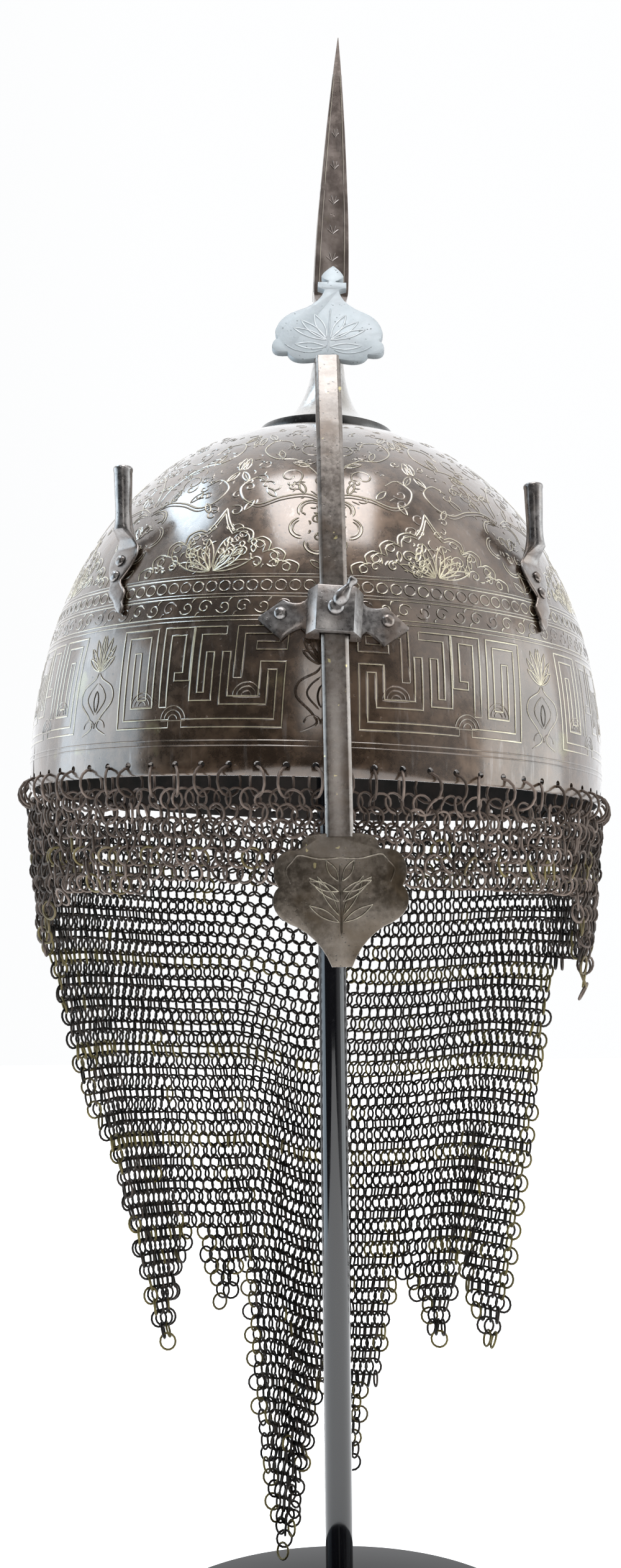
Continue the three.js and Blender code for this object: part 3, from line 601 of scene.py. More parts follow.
class Engraver:
    """Draws in millimetres, across and up, round one middle azimuth of the bowl."""

    def __init__(self, middle, flip, strips):
        self.middle, self.flip, self.strips = middle, flip, strips

    def cut(self, path, width, fresh):
        """A path of (degrees from the middle, way up the bowl) points."""
        path = np.asarray(path, float)
        azimuth = self.middle + self.flip * path[:, 0]
        aside = abs((float(np.mean(azimuth)) + 180) % 360 - 180)
        if path[0, 1] < BORDER_RISE:           # rubbed away beside the nasal bar
            fresh *= 0.35 + 0.65 * min(1.0, max(0.0, (aside - 4) / 12))
        points, normals = on_bowl(azimuth, path[:, 1])
        strip(points, normals, width, fresh, self.strips)

    def local(self, path, at):
        """Millimetres round a point, as degrees and way up."""
        path = np.asarray(path, float)
        rise = at[1] + path[:, 1]
        radius = np.interp(rise, fine_rise, fine_radius)
        return np.stack([at[0] + np.degrees(path[:, 0] / np.maximum(radius, 1.0)), rise], 1)

    def loop(self, at, radius, width, fresh, start=0.0, sweep=360.0, end_radius=None, squash=1.0):
        """An arc, a circle or, with another end radius, a scroll."""
        turns = np.radians(np.linspace(start, start + sweep, max(8, int(abs(sweep) * radius / 50) + 6)))
        share = (turns - turns[0]) / (turns[-1] - turns[0])
        reach = radius + ((end_radius if end_radius is not None else radius) - radius) * share
        path = np.stack([np.cos(turns) * reach, np.sin(turns) * reach * squash], 1)
        self.cut(self.local(path, at), width, fresh)

    def leaf(self, at, angle, length, fat, width, fresh, vein=False):
        """The outline of a leaf that grows from a point."""
        share = np.linspace(0, 1, 9)
        bulge = np.sin(share * math.pi) ** 0.8 * fat
        turn = math.radians(angle)
        ahead, across = np.array([math.cos(turn), math.sin(turn)]), np.array([-math.sin(turn), math.cos(turn)])
        for side in (1, -1):
            path = share[:, None] * length * ahead + side * bulge[:, None] * across
            self.cut(self.local(path, at), width, fresh)
        if vein:
            path = share[:, None] * length * 0.7 * ahead
            self.cut(self.local(path, at), width * 0.8, fresh)

    def dash(self, at, angle, length, bend, width, fresh):
        share = np.linspace(0, 1, 6)
        turn = math.radians(angle)
        ahead, across = np.array([math.cos(turn), math.sin(turn)]), np.array([-math.sin(turn), math.cos(turn)])
        path = share[:, None] * length * ahead + (np.sin(share * math.pi) * bend)[:, None] * across
        self.cut(self.local(path, at), width, fresh)


strips = []

# Lines right round the bowl, and the two narrow borders of scrolls and of beads.
for height, width, fresh in (
    (9.0, 0.35, 0.42), (10.6, 0.35, 0.48), (47.4, 0.45, 0.62), (48.7, 0.45, 0.78),
    (54.9, 0.42, 0.75), (55.9, 0.35, 0.60), (61.2, 0.45, 0.85), (62.2, 0.35, 0.60),
):
    azimuths = np.linspace(0, 360, 288)
    points, normals = on_bowl(azimuths, np.full(288, rise_at(height)))
    strip(points, normals, width, fresh, strips)
BEADS = 132
for k in range(BEADS):
    pen = Engraver(ORNAMENT_TURN + k * 360 / BEADS, 1, strips)
    pen.loop((0, rise_at(58.5)), 1.75, 0.42, 0.80 + chance.uniform(-0.25, 0.15))
SCROLLS = 96
for k in range(SCROLLS):
    pen = Engraver(ORNAMENT_TURN + k * 360 / SCROLLS, 1 if k % 2 else -1, strips)
    up = 1 if k % 2 else -1
    fresh = 0.72 + chance.uniform(-0.3, 0.2)
    pen.loop((0, rise_at(51.8)), 2.5, 0.42, fresh, 200 * up, 400 * up, 0.5)
    pen.dash((1.0, rise_at(51.8) + 1.6 * up), 50 * up, 1.8, 0.3, 0.5, fresh)

FRET_LOW, FRET_HIGH = 14.5, 45.5
FRET_HALF = 16.4
FRET_BAND = 1.25                   # half width of the fret's double-lined band, millimetres
FRET_PATHS = [
    [(-0.30, 0.04), (-0.94, 0.04), (-0.94, 0.96), (-0.56, 0.96), (-0.56, 0.24), (-0.76, 0.24), (-0.76, 0.76)],
    [(-0.38, 0.20), (-0.38, 0.96), (-0.12, 0.96), (-0.12, 0.50), (-0.26, 0.50)],
    [(0.30, 0.96), (-0.02, 0.96), (-0.02, 0.30), (0.14, 0.30), (0.14, 0.74)],
    [(-0.14, 0.04), (0.92, 0.04), (0.92, 0.60), (0.74, 0.60), (0.74, 0.26), (0.32, 0.26), (0.32, 0.74)],
    [(0.46, 0.48), (0.46, 0.96), (0.92, 0.96), (0.92, 0.80), (0.64, 0.80)],
]
LOBES = [
    [(17.2, 62.6), (17.4, 65.2), (15.6, 66.6), (14.2, 66.0)],
    [(14.2, 66.0), (14.6, 68.8), (13.0, 70.6), (11.2, 69.8)],
    [(11.2, 69.8), (11.4, 72.8), (9.6, 74.6), (7.6, 73.6)],
    [(7.6, 73.6), (7.2, 76.6), (5.0, 78.0), (3.2, 77.2)],
    [(3.2, 77.2), (2.2, 79.0), (1.2, 81.5), (0.0, 85.5)],
]
for k in range(FOLD):
    middle = ORNAMENT_TURN + (k + 0.5) * PITCH
    pen = Engraver(middle, 1 if k % 2 else -1, strips)
    fret_low, fret_high = rise_at(FRET_LOW), rise_at(FRET_HIGH)
    for path in FRET_PATHS:
        fresh = 0.95 + chance.uniform(-0.3, 0.1)
        across = [(x * FRET_HALF / 180 * math.pi * BOWL_RADIUS, y * (fret_high - fret_low)) for x, y in path]
        left, right = side_path(across, FRET_BAND), side_path(across, -FRET_BAND)
        outline = np.vstack([left, right[::-1], left[:1]])
        pen.cut(pen.local(straight_path(outline, 2.5), (0, fret_low)), 0.62, fresh)
    for x, rise in ((-4.0, 17.0), (9.5, 24.0), (-10.8, 21.5)):
        for radius in (4.2, 2.9, 1.5):
            pen.loop((x, rise), radius, 0.35, 0.55, 0, 180)
        pen.dash((x - 2.4, rise - 0.4), 0, 8.4, 0, 0.35, 0.55)
    for flip in (1, -1):
        pen = Engraver(middle, flip, strips)
        for lobe in LOBES:
            path = [(x, rise_at(height)) for x, height in lobe]
            pen.cut(smooth_path(path, 0.6), 0.5, 0.98)
            inner = [(x * 0.90, (rise - rise_at(62.6)) * 0.90 + rise_at(62.6) + 0.3) for x, rise in path]
            pen.cut(smooth_path(inner, 0.6), 0.42, 0.85)
        for x, height, size in (
            (15.1, 64.4, 1.3), (12.6, 68.2, 1.35), (9.3, 72.2, 1.35), (5.4, 75.8, 1.25), (2.0, 78.6, 1.1)
        ):
            pen.loop((x, rise_at(height)), size, 0.38, 0.8)
        base = rise_at(63.6)
        for angle, length, fat in ((78, 12.5, 1.5), (58, 10.5, 1.6), (38, 11.0, 1.6), (17, 12.0, 1.4)):
            pen.leaf((0.4, base), angle, length, fat, 0.55, 0.95, True)
        pen.loop((5.6, base + 6.6), 2.6, 0.5, 0.9, 200, -420, 0.5)
        pen.loop((9.0, base + 2.6), 2.2, 0.5, 0.9, 160, -400, 0.4)
        pen.loop((12.6, base + 1.9), 1.7, 0.45, 0.8, 160, -380, 0.3)
        pen.loop((2.6, base + 10.6), 1.9, 0.45, 0.85, 250, -400, 0.4)
        for _ in range(9):
            at = (chance.uniform(1.0, 9), base + chance.uniform(1, 9))
            pen.leaf(at, chance.uniform(20, 160), chance.uniform(2.4, 4.2), 0.75, 0.5, 0.95)
        for _ in range(16):
            at = (chance.uniform(0.8, 14), base + chance.uniform(0.4, 4))
            if at[0] < 8:
                at = (at[0], base + chance.uniform(0.4, 11))
            pen.dash(at, chance.uniform(0, 180), chance.uniform(1.2, 2.4), chance.uniform(-0.5, 0.5), 0.6, 0.85)
    for flip in (1, -1):
        pen = Engraver(middle + PITCH / 2, flip, strips)
        low, high = rise_at(12.5), rise_at(46.0)
        span = high - low
        vase = [(0.2, 0.62), (1.0, 0.56), (3.9, 0.47), (4.3, 0.34), (1.7, 0.20), (0.7, 0.10), (3.4, 0.02)]
        pen.cut(smooth_path([(x, low + y * span) for x, y in vase], 0.8), 0.5, 0.72)
        inside = [(0.2, 0.52), (1.9, 0.44), (2.4, 0.35), (0.3, 0.22)]
        pen.cut(smooth_path([(x, low + y * span) for x, y in inside], 0.8), 0.4, 0.6)
        for angle, length in ((88, 12.0), (72, 11.5), (55, 10.0), (38, 7.5)):
            pen.leaf((0.1, low + 0.63 * span), angle, length, 0.9, 0.5, 0.85)
        pen.loop((2.2, low + 0.78 * span), 1.5, 0.38, 0.6, 20, 300, 0.4)
        pen.loop((1.4, low + 0.09 * span), 2.6, 0.4, 0.55, 180, -180)
        pen.leaf((0.0, low + 0.24 * span), 90, 7.0, 1.1, 0.42, 0.6)
        # Lobed medallion over the gap between two arches, with vines that spring from it.
        at = (0.0, rise_at(79.0))
        for start in (-70, -10, 50):
            turn = math.radians(start)
            lobe_at = pen.local([(math.cos(turn) * 7.2, math.sin(turn) * 7.6)], at)[0]
            pen.loop(tuple(lobe_at), 4.1, 0.5, 0.85, start - 80, 160)
            pen.loop(tuple(lobe_at), 3.1, 0.4, 0.7, start - 75, 150)
        pen.loop((1.8, at[1] + 2.0), 2.6, 0.42, 0.75, 210, -400, 0.4)
        pen.loop((1.5, at[1] - 4.6), 2.0, 0.42, 0.75, 120, 380, 0.4)
        pen.leaf((0.0, at[1] - 1.0), 60, 5.5, 1.0, 0.42, 0.75)
        for _ in range(8):
            pen.dash((chance.uniform(0.4, 4.6), at[1] + chance.uniform(-7, 7)), chance.uniform(0, 180),
                     chance.uniform(1.0, 2.0), 0.3, 0.45, 0.7)
        stem = [(0.0, rise_at(63.0)), (0.7, rise_at(66.5)), (0.2, rise_at(69.5))]
        pen.cut(smooth_path(stem, 0.8), 0.42, 0.7)
        pen.leaf((0.3, rise_at(64.0)), 35, 5.0, 0.9, 0.42, 0.7)
        vine = [(0.3, 87.5), (4.5, 90.0), (10.0, 89.0), (15.0, 86.5), (19.0, 88.5), (20.8, 93.5), (17.5, 96.8), (14.2, 94.6)]
        pen.cut(smooth_path([(x, rise_at(y)) for x, y in vine], 0.8), 0.5, 0.82)
        under = [(x, y - 1.1) for x, y in vine[:5]]
        pen.cut(smooth_path([(x, rise_at(y)) for x, y in under], 0.8), 0.4, 0.6)
        crest = [(0.4, 89.5), (2.0, 97.0), (8.0, 103.5), (14.5, 104.5), (18.8, 108.5), (17.0, 112.5), (11.5, 112.0), (9.5, 108.6)]
        pen.cut(smooth_path([(x, rise_at(y)) for x, y in crest], 0.8), 0.5, 0.78)
        pen.loop((9.0, rise_at(97.0)), 4.2, 0.45, 0.7, 240, -430, 0.8)
        pen.loop((4.5, rise_at(108.5)), 4.6, 0.45, 0.7, 200, 400, 0.8)
        for x, height, angle, length in (
            (5.0, 90.2, 70, 5.5), (11.5, 89.0, 50, 5.5), (16.5, 88.0, -60, 5.0), (19.5, 95.5, 60, 6.0),
            (4.5, 101.0, 20, 6.0), (12.0, 104.3, 70, 5.5), (17.0, 113.0, 60, 6.5), (2.2, 96.0, 150, 4.5),
            (21.8, 100.0, 90, 7.0), (21.5, 111.0, 90, 6.0),
        ):
            pen.leaf((x, rise_at(height)), angle, length, length * 0.17, 0.45, 0.8, length > 5.7)
        for low, high, near, far, number in ((88, 122, 1.0, 21.5, 20), (64, 85, 17.6, 21.8, 5)):
            for _ in range(number):
                at = (chance.uniform(near, far), rise_at(chance.uniform(low, high)))
                pen.loop(at, chance.uniform(1.3, 2.7), 0.42, chance.uniform(0.45, 0.8), chance.uniform(0, 360),
                         chance.choice((-1, 1)) * chance.uniform(250, 420), 0.4)
        for _ in range(26):
            at = (chance.uniform(0.5, 22), rise_at(chance.uniform(86, 119)))
            pen.dash(at, chance.uniform(0, 180), chance.uniform(1.2, 3.2), chance.uniform(-0.8, 0.8), 0.4, 0.62)


def cut_lines(name, strips, matrix, material, body, slot):
    """All strips as one mesh; each middle point holds how fresh its line is, and each edge point a value below zero
    that paints shade beside the line.
    """
    places, faces, fresh_and_edge_shade, count = [], [], [], 0
    for rows, fresh in strips:
        steps = len(rows)
        places.append(rows.reshape(-1, 3))
        # The edge points get -0.5: painted shade along each cut line.
        fresh_and_edge_shade.append(np.tile((-0.5, fresh, -0.5), steps))
        index = count + np.arange(steps * 3).reshape(steps, 3)
        for side in (0, 1):
            faces.append(np.stack([
                index[:-1, side], index[1:, side], index[1:, side + 1], index[:-1, side + 1]], 1))
        count += steps * 3
    data = bpy.data.meshes.new(name)
    data.from_pydata(np.vstack(places).tolist(), [], np.vstack(faces)[:, ::-1].tolist())
    trait = data.attributes.new("cut_line", "FLOAT", "POINT")
    trait.data.foreach_set("value", np.concatenate(fresh_and_edge_shade).astype(np.float32))
    data.transform(Matrix.Scale(0.001, 4) @ matrix)
    data.materials.append(material)
    obj = bpy.data.objects.new(name, data)
    bpy.context.collection.objects.link(obj)
    return belongs(obj, body, slot)


cut_lines("bowl_cut_lines", strips, bowl_place, bowl_steel, BODY, "bowl_steel")

# Crown piece. A thin flange lies on the top of the bowl and is drawn up into a slim, flared
# stem that takes the spike's tang. It is grey iron, turned and filed smooth.
CROWN_RADIUS = 24.0
CROWN_EDGE = 1.1
STEM_RISE = 44.0
TANG_RADIUS = 1.6
TANG_LENGTH = 14.0


def grey_iron(name, dark, light, brown, rough_low, rough_high, flecks=0.0, painted_shade_below=0.0,
              metal=0.9, coat=0.6, edge_shade=0.6, inlay=(0.62, 0.58, 0.42)):
    """Worn iron: grey with brown patches, fine scratches, small pits and cut lines, with painted shade along the cut
    lines' edges and, where asked, painted shade below a height.
    """
    paint = Paint(bpy.data.materials.new(name))
    place = paint.place()
    cloud = paint.noise(place, 9, 4, 0.6, 0.2)
    mottle = paint.noise(place, 1.8, 5, 0.65)
    scratch = paint.noise(paint.place((1.0, 1.0, 0.08)), 0.8, 3, 0.7)
    pits = paint.cells(place, 1.5).between(0.06, 0.20, 1.0, 0.0) * cloud.between(0.42, 0.6)
    colour = paint.mix((cloud * 0.5 + mottle * 0.5).between(0.36, 0.66), dark, light)
    colour = paint.mix(paint.noise(place, 14, 4).between(0.45, 0.68), colour, brown)
    colour = paint.mix(pits * 0.7, colour, (0.02, 0.016, 0.013))
    line = paint.trait("cut_line")
    shown = (line * 1.35 - paint.noise(place, 2.4, 3, 0.6)).between(0.02, 0.42)
    # Painted shade: the cut lines' edges are darkened as the shadow of a groove.
    colour = paint.mix((0.0 - line).between(0.02, 0.40) * edge_shade, colour, (0.02, 0.016, 0.012))
    colour = paint.mix(shown, colour, inlay)
    if flecks:
        colour = paint.mix(paint.noise(place, 2.4, 2).between(0.70, 0.74) * flecks, colour, (0.62, 0.54, 0.26))
    # Painted shade: below the given height the colour goes nearly black, for the shadow under the crown flange's
    # edge.
    if painted_shade_below:
        colour = paint.mix(paint.axis(place, 2).between(painted_shade_below, painted_shade_below + 0.004, 0.93, 0.0), colour, (0.01, 0.009, 0.008))
    rough = mottle.between(0.3, 0.7, rough_low, rough_high) + pits * 0.2
    height = mottle * 0.5 + scratch * 0.25 - pits * 1.2
    return paint.surface(
        base_color=colour, roughness=rough, metallic=metal - pits * 0.3,
        coat_weight=coat, coat_roughness=0.2, coat_ior=1.6,
        normal=paint.bump(height, 0.055, paint.bump(cloud, 0.12)),
    )


fitting_iron = grey_iron(
    "fitting_iron", (0.125, 0.116, 0.112), (0.31, 0.295, 0.285), (0.165, 0.128, 0.105), 0.24, 0.40)
# The crown's flange is painted nearly black below 434.7 mm, as painted shade where its edge meets the bowl.
crown_iron = grey_iron(
    "crown_iron", (0.30, 0.295, 0.285), (0.50, 0.49, 0.475), (0.35, 0.33, 0.30), 0.22, 0.36, 0.0, 0.4347)

STEM = [
    (0.985, 0.012), (0.90, 0.020), (0.83, 0.032), (0.72, 0.060), (0.63, 0.092), (0.55, 0.128),
    (0.48, 0.170), (0.42, 0.218), (0.37, 0.272), (0.325, 0.330), (0.29, 0.395), (0.262, 0.46),
    (0.24, 0.54), (0.215, 0.64), (0.193, 0.74), (0.17, 0.84), (0.155, 0.92), (0.150, 0.985),
]
stem_top = BOWL_HEIGHT + STEM_RISE


def bowl_height_at(radius):
    share = (radius / BOWL_RADIUS) ** BOWL_FULLNESS
    return BOWL_HEIGHT * (1 - share) ** (1 / BOWL_FULLNESS)


crown_profile = [(0, BOWL_HEIGHT + FIT)]
for share in (0.3, 0.55, 0.8, 1.0):
    crown_profile.append((CROWN_RADIUS * share, bowl_height_at(CROWN_RADIUS * share) + FIT))
crown_profile.append((CROWN_RADIUS, bowl_height_at(CROWN_RADIUS) + FIT + CROWN_EDGE))
crown_profile += [
    (CROWN_RADIUS * r, max(BOWL_HEIGHT + STEM_RISE * rise, bowl_height_at(CROWN_RADIUS * r) + FIT + CROWN_EDGE))
    for r, rise in STEM]
crown_profile += [
    (3.2, stem_top - 0.1), (TANG_RADIUS + FIT, stem_top - 0.1), (TANG_RADIUS + FIT, stem_top - TANG_LENGTH),
    (0, stem_top - TANG_LENGTH)]
crown = placed("crown_piece", turned(crown_profile, 120), bowl_place, crown_iron, 28)
belongs(crown, BODY, "grey_iron", "crown_stem")

# Spike. A long four-sided point of the bowl's brown steel, a little full in the middle and
# drawn in at the foot, with two cut lines and small sprigs down each face.
SPIKE_LENGTH = 98.0
SPIKE_WIDTH = 12.2
SPIKE = [
    (0.60, 0), (0.64, 0.006), (0.74, 0.012), (0.92, 0.026), (0.985, 0.040), (1.0, 0.065), (0.99, 0.12),
    (0.95, 0.21), (0.915, 0.27), (0.877, 0.325), (0.82, 0.385), (0.762, 0.44), (0.64, 0.555),
    (0.508, 0.67), (0.361, 0.78), (0.197, 0.895), (0.09, 0.96), (0.02, 1.0),
]


def lofted(rings, close_low=True, close_high=True):
    """A closed mesh through rings of points that all have as many points."""
    mesh = bmesh.new()
    loops = []
    for points in rings:
        loop = [mesh.verts.new(point) for point in points]
        loops.append([mesh.edges.new(pair) for pair in zip(loop, loop[1:] + loop[:1])])
    for lower, upper in zip(loops, loops[1:]):
        bmesh.ops.bridge_loops(mesh, edges=lower + upper)
    for loop, wanted in ((loops[0], close_low), (loops[-1], close_high)):
        if wanted:
            bmesh.ops.contextual_create(mesh, geom=loop)
    bmesh.ops.recalc_face_normals(mesh, faces=mesh.faces)
    return mesh


def square(half, height):
    return [(-half, -half, height), (half, -half, height), (half, half, height), (-half, half, height)]


spike_foot = stem_top + FIT
spike_mesh = lofted([square(SPIKE_WIDTH / 2 * w, spike_foot + SPIKE_LENGTH * rise) for w, rise in SPIKE])
long_edges = [e for e in spike_mesh.edges if abs((e.verts[0].co - e.verts[1].co).normalized().z) > 0.5]
bmesh.ops.bevel(
    spike_mesh, geom=long_edges, offset=0.28, offset_type="OFFSET", segments=2, profile=0.5,
    affect="EDGES", material=-1, clamp_overlap=True,
)
spike_steel = russet_steel("spike_steel", (0.115, 0.086, 0.072), (0.26, 0.215, 0.19), -0.06)
spike = placed("spike_point", spike_mesh, bowl_place, spike_steel, 24)
belongs(spike, BODY, "bowl_steel", "spike")

strips = []


def on_spike(side, x, rise):
    """Points on one of the spike's faces, from shares of its half width and its length."""
    half = SPIKE_WIDTH / 2 * np.interp(rise, [r for _, r in SPIKE], [w for w, _ in SPIKE])
    turn = side * math.pi / 2
    across = np.asarray(x) * half
    points = np.stack([across, -half, spike_foot + SPIKE_LENGTH * np.asarray(rise)], -1)
    spin = np.array([[math.cos(turn), -math.sin(turn), 0], [math.sin(turn), math.cos(turn), 0], [0, 0, 1]])
    normals = np.tile(np.array([0.0, -0.998, 0.06]), (len(points), 1))
    return points @ spin.T, normals @ spin.T


for side in range(4):
    for edge in (-0.72, 0.72):
        for low, high in ((0.05, 0.42), (0.44, 0.86)):
            rise = np.linspace(low, high, 60)
            points, normals = on_spike(side, np.full(60, edge), rise)
            strip(points, normals, 0.34, 0.60, strips)
    for rise in (0.07, 0.16, 0.26, 0.37, 0.50, 0.62):
        for angle in (-60, -25, 25, 60):
            t = np.linspace(0, 1, 6)
            x = math.sin(math.radians(angle)) * t * 0.42
            up = rise + math.cos(math.radians(angle)) * t * 0.035
            points, normals = on_spike(side, x, up)
            strip(points, normals, 0.36, 0.42, strips)
cut_lines("spike_cut_lines", strips, bowl_place, spike_steel, BODY, "bowl_steel")

# Nasal bar. A flat iron bar with chamfered edges, bent to one long arc so that it slides in
# its keeper, and forged out into a pierced-looking palmette plate at each end.
BAR_WIDTH = 8.2
BAR_THICK = 3.0
BAR_CHAMFER = 1.1
BAR_ARC = 470.0
PLATE_THICK = 2.0
BAR_LOW_ANGLE = math.radians(5.60)
BAR_HIGH_ANGLE = math.radians(24.83)
ARC_MIDDLE = Vector((0, 356.4912, -63.3734))
nasal_place = Matrix.Translation((0.950, 0, RIM_HEIGHT)) @ Matrix.Rotation(math.radians(-0.5), 4, "Y")


def on_arc(angle, lift=0.0):
    out = Vector((0, -math.cos(angle), math.sin(angle)))
    return ARC_MIDDLE + out * (BAR_ARC + lift), out


half, front = BAR_WIDTH / 2, BAR_THICK / 2
SECTION = [
    (-half, -front), (half, -front), (half, front - BAR_CHAMFER * 0.75),
    (half - BAR_CHAMFER, front), (BAR_CHAMFER - half, front), (-half, front - BAR_CHAMFER * 0.75),
]
bar_rings = []
for k in range(61):
    angle = BAR_LOW_ANGLE - 0.0024 + (BAR_HIGH_ANGLE - BAR_LOW_ANGLE + 0.0048) * k / 60
    middle, out = on_arc(angle)
    bar_rings.append([Vector((x, 0, 0)) + middle + out * y for x, y in SECTION])
bar_mesh = lofted(bar_rings)
long_edges = [e for e in bar_mesh.edges if abs((e.verts[0].co - e.verts[1].co).normalized().x) < 0.3
              and e.calc_face_angle(0) > 0.3]
bmesh.ops.bevel(
    bar_mesh, geom=long_edges, offset=0.16, offset_type="OFFSET", segments=2, profile=0.5,
    affect="EDGES", material=-1, clamp_overlap=True,
)
bar_iron = grey_iron(
    "bar_iron", (0.100, 0.081, 0.067), (0.225, 0.197, 0.174), (0.100, 0.072, 0.052), 0.26, 0.42, 0.8, coat=1.0)
bar = placed("nasal_strip", bar_mesh, nasal_place, bar_iron, 22)
belongs(bar, "nasal", "grey_iron", "nasal_bar")

LOWER_HALF, LOWER_TALL, LOWER_TILT = 19.7, 39.0, math.radians(2)
UPPER_HALF, UPPER_TALL, UPPER_TILT, UPPER_TURN = 17.8, 41.0, math.radians(27), math.radians(4)
LOWER_ROWS = [
    ((0.50, 0.0), (0.56, -0.06)), ((0.55, -0.10), (0.62, -0.12)), ((0.93, -0.11), (0.98, -0.25)),
    ((1.0, -0.34), (0.92, -0.40)), ((1.02, -0.44), (1.0, -0.53)), ((0.96, -0.64), (0.64, -0.70)),
    ((0.30, -0.80), (0.15, -1.0)),
]
UPPER_ROWS = [
    ((0.42, -0.02), (0.52, -0.01)), ((0.66, 0.0), (0.72, 0.06)), ((0.97, 0.04), (1.0, 0.11)),
    ((1.0, 0.18), (0.91, 0.20)), ((0.99, 0.26), (0.95, 0.31)), ((0.88, 0.44), (0.60, 0.50)),
    ((0.20, 0.58), (0.13, 0.73)), ((0.13, 0.74), (0.26, 0.76)), ((0.26, 0.80), (0.26, 0.82)),
    ((0.08, 0.82), (0.06, 0.83)), ((0.22, 0.86), (0.20, 0.89)), ((0.16, 0.94), (0.01, 1.0)),
]


def palmette_edge(rows, start, half, tall, steps=5):
    """Half a palmette's outline as points, from the bar outwards, by quadratic curves."""
    here, points = Vector((start, 0)), [Vector((start, 0))]
    for bend, end in rows:
        bend, end = Vector((bend[0] * half, bend[1] * tall)), Vector((end[0] * half, end[1] * tall))
        for k in range(1, steps + 1):
            t = k / steps
            points.append(here * (1 - t) ** 2 + bend * 2 * t * (1 - t) + end * t * t)
        here = end
    return points


def plate_place(angle, tilt, turn=0.0):
    """A frame on the bar's arc: X across, Y up the plate, Z out in front."""
    middle, _ = on_arc(angle)
    basis = Matrix((
        (1, 0, 0), (0, math.sin(tilt), -math.cos(tilt)), (0, math.cos(tilt), math.sin(tilt))))
    return Matrix.Translation(middle) @ basis.to_4x4() @ Matrix.Rotation(-turn, 4, "Z")


def palmette(name, rows, half, tall, matrix, material):
    edge = palmette_edge(rows, BAR_WIDTH / 2, half, tall)
    outline = edge + [Vector((-p.x, p.y)) for p in reversed(edge)]
    mesh = bmesh.new()
    face = mesh.faces.new([mesh.verts.new((p.x, p.y, -PLATE_THICK / 2)) for p in outline])
    grown = bmesh.ops.extrude_face_region(mesh, geom=[face])
    bmesh.ops.translate(
        mesh, vec=(0, 0, PLATE_THICK), verts=[v for v in grown["geom"] if isinstance(v, bmesh.types.BMVert)])
    bmesh.ops.recalc_face_normals(mesh, faces=mesh.faces)
    rims = [e for e in mesh.edges if abs(e.verts[0].co.z - e.verts[1].co.z) < 0.01]
    bmesh.ops.bevel(
        mesh, geom=rims, offset=0.34, offset_type="OFFSET", segments=2, profile=0.5,
        affect="EDGES", material=-1, clamp_overlap=True,
    )
    obj = placed(name, mesh, nasal_place @ matrix, material, 24)
    return belongs(obj, "nasal", "grey_iron", "nasal_bar")


class PlateEngraver:
    """Draws cut lines in millimetres on the front of a flat plate."""

    def __init__(self, matrix, strips):
        self.matrix, self.strips = matrix, strips

    def cut(self, path, width, fresh):
        flat = smooth_path(path, 0.7)
        points = np.array([self.matrix @ Vector((x, y, PLATE_THICK / 2)) for x, y in flat])
        normal = np.array((self.matrix.to_3x3() @ Vector((0, 0, 1))))
        strip(points, np.tile(normal, (len(points), 1)), width, fresh, self.strips)

    def leaf(self, x, y, angle, length, fat, width, fresh):
        turn = math.radians(angle)
        ahead, across = Vector((math.cos(turn), math.sin(turn))), Vector((-math.sin(turn), math.cos(turn)))
        for side in (1, -1):
            path = []
            for k in range(7):
                t = k / 6
                point = Vector((x, y)) + ahead * length * t + across * side * fat * math.sin(t * math.pi)
                path.append(tuple(point))
            self.cut(path, width, fresh)


# The upper plate is the same bar iron, painted a pale bluish grey that stands in for the bright light above it: a
# painted reflection.
upper_iron_painted_reflection = grey_iron(
    "upper_plate_painted_reflection", (0.255, 0.282, 0.296), (0.31, 0.34, 0.355), (0.28, 0.30, 0.312), 0.42, 0.52,
    metal=0.45, coat=0.0, edge_shade=0.0, inlay=(0.60, 0.62, 0.63))
lower_iron = grey_iron(
    "lower_plate_iron", (0.078, 0.062, 0.046), (0.185, 0.155, 0.125), (0.088, 0.064, 0.040), 0.30, 0.46, 0.5,
    coat=0.4)
lower_place = plate_place(BAR_LOW_ANGLE, LOWER_TILT)
upper_place = plate_place(BAR_HIGH_ANGLE, UPPER_TILT, UPPER_TURN)
palmette("nasal_palmette_lower", LOWER_ROWS, LOWER_HALF, LOWER_TALL, lower_place, lower_iron)
palmette("nasal_palmette_upper", UPPER_ROWS, UPPER_HALF, UPPER_TALL, upper_place, upper_iron_painted_reflection)

strips = []
pen = PlateEngraver(lower_place, strips)
for flip in (1, -1):
    pen.cut([(flip * x, y) for x, y in ((0.0, -7.2), (6.0, -7.4), (11.8, -6.2), (13.6, -7.6))], 0.42, 0.52)
    pen.cut([(flip * x, y) for x, y in ((13.6, -7.6), (15.8, -10.5), (14.6, -14.5))], 0.40, 0.36)
    for y, angle, length in ((-24, 62, 13), (-20, 40, 11), (-17, 20, 9), (-26, 30, 10), (-14, 60, 7)):
        turn = angle if flip > 0 else 180 - angle
        pen.leaf(flip * 0.6, y, turn, length, 1.1, 0.42, 0.62)
pen.cut([(0, -30), (0.1, -22), (0, -9)], 0.42, 0.44)
cut_lines("lower_plate_lines", strips, nasal_place, lower_iron, "nasal", "grey_iron")
strips = []
pen = PlateEngraver(upper_place, strips)
for flip in (1, -1):
    for y, angle, length in ((9, 66, 11), (8, 44, 12), (8, 24, 12), (5, 4, 10)):
        turn = angle if flip > 0 else 180 - angle
        pen.leaf(flip * 0.6, y, turn, length, 1.3, 0.5, 0.85)
    pen.cut([(flip * x, y) for x, y in ((2.0, 3.5), (6.0, 2.4), (10.5, 3.4), (13.8, 5.6))], 0.42, 0.62)
pen.cut([(0, 3), (0, 14), (0, 22)], 0.42, 0.66)
cut_lines("upper_plate_lines", strips, nasal_place, upper_iron_painted_reflection, "nasal", "grey_iron")

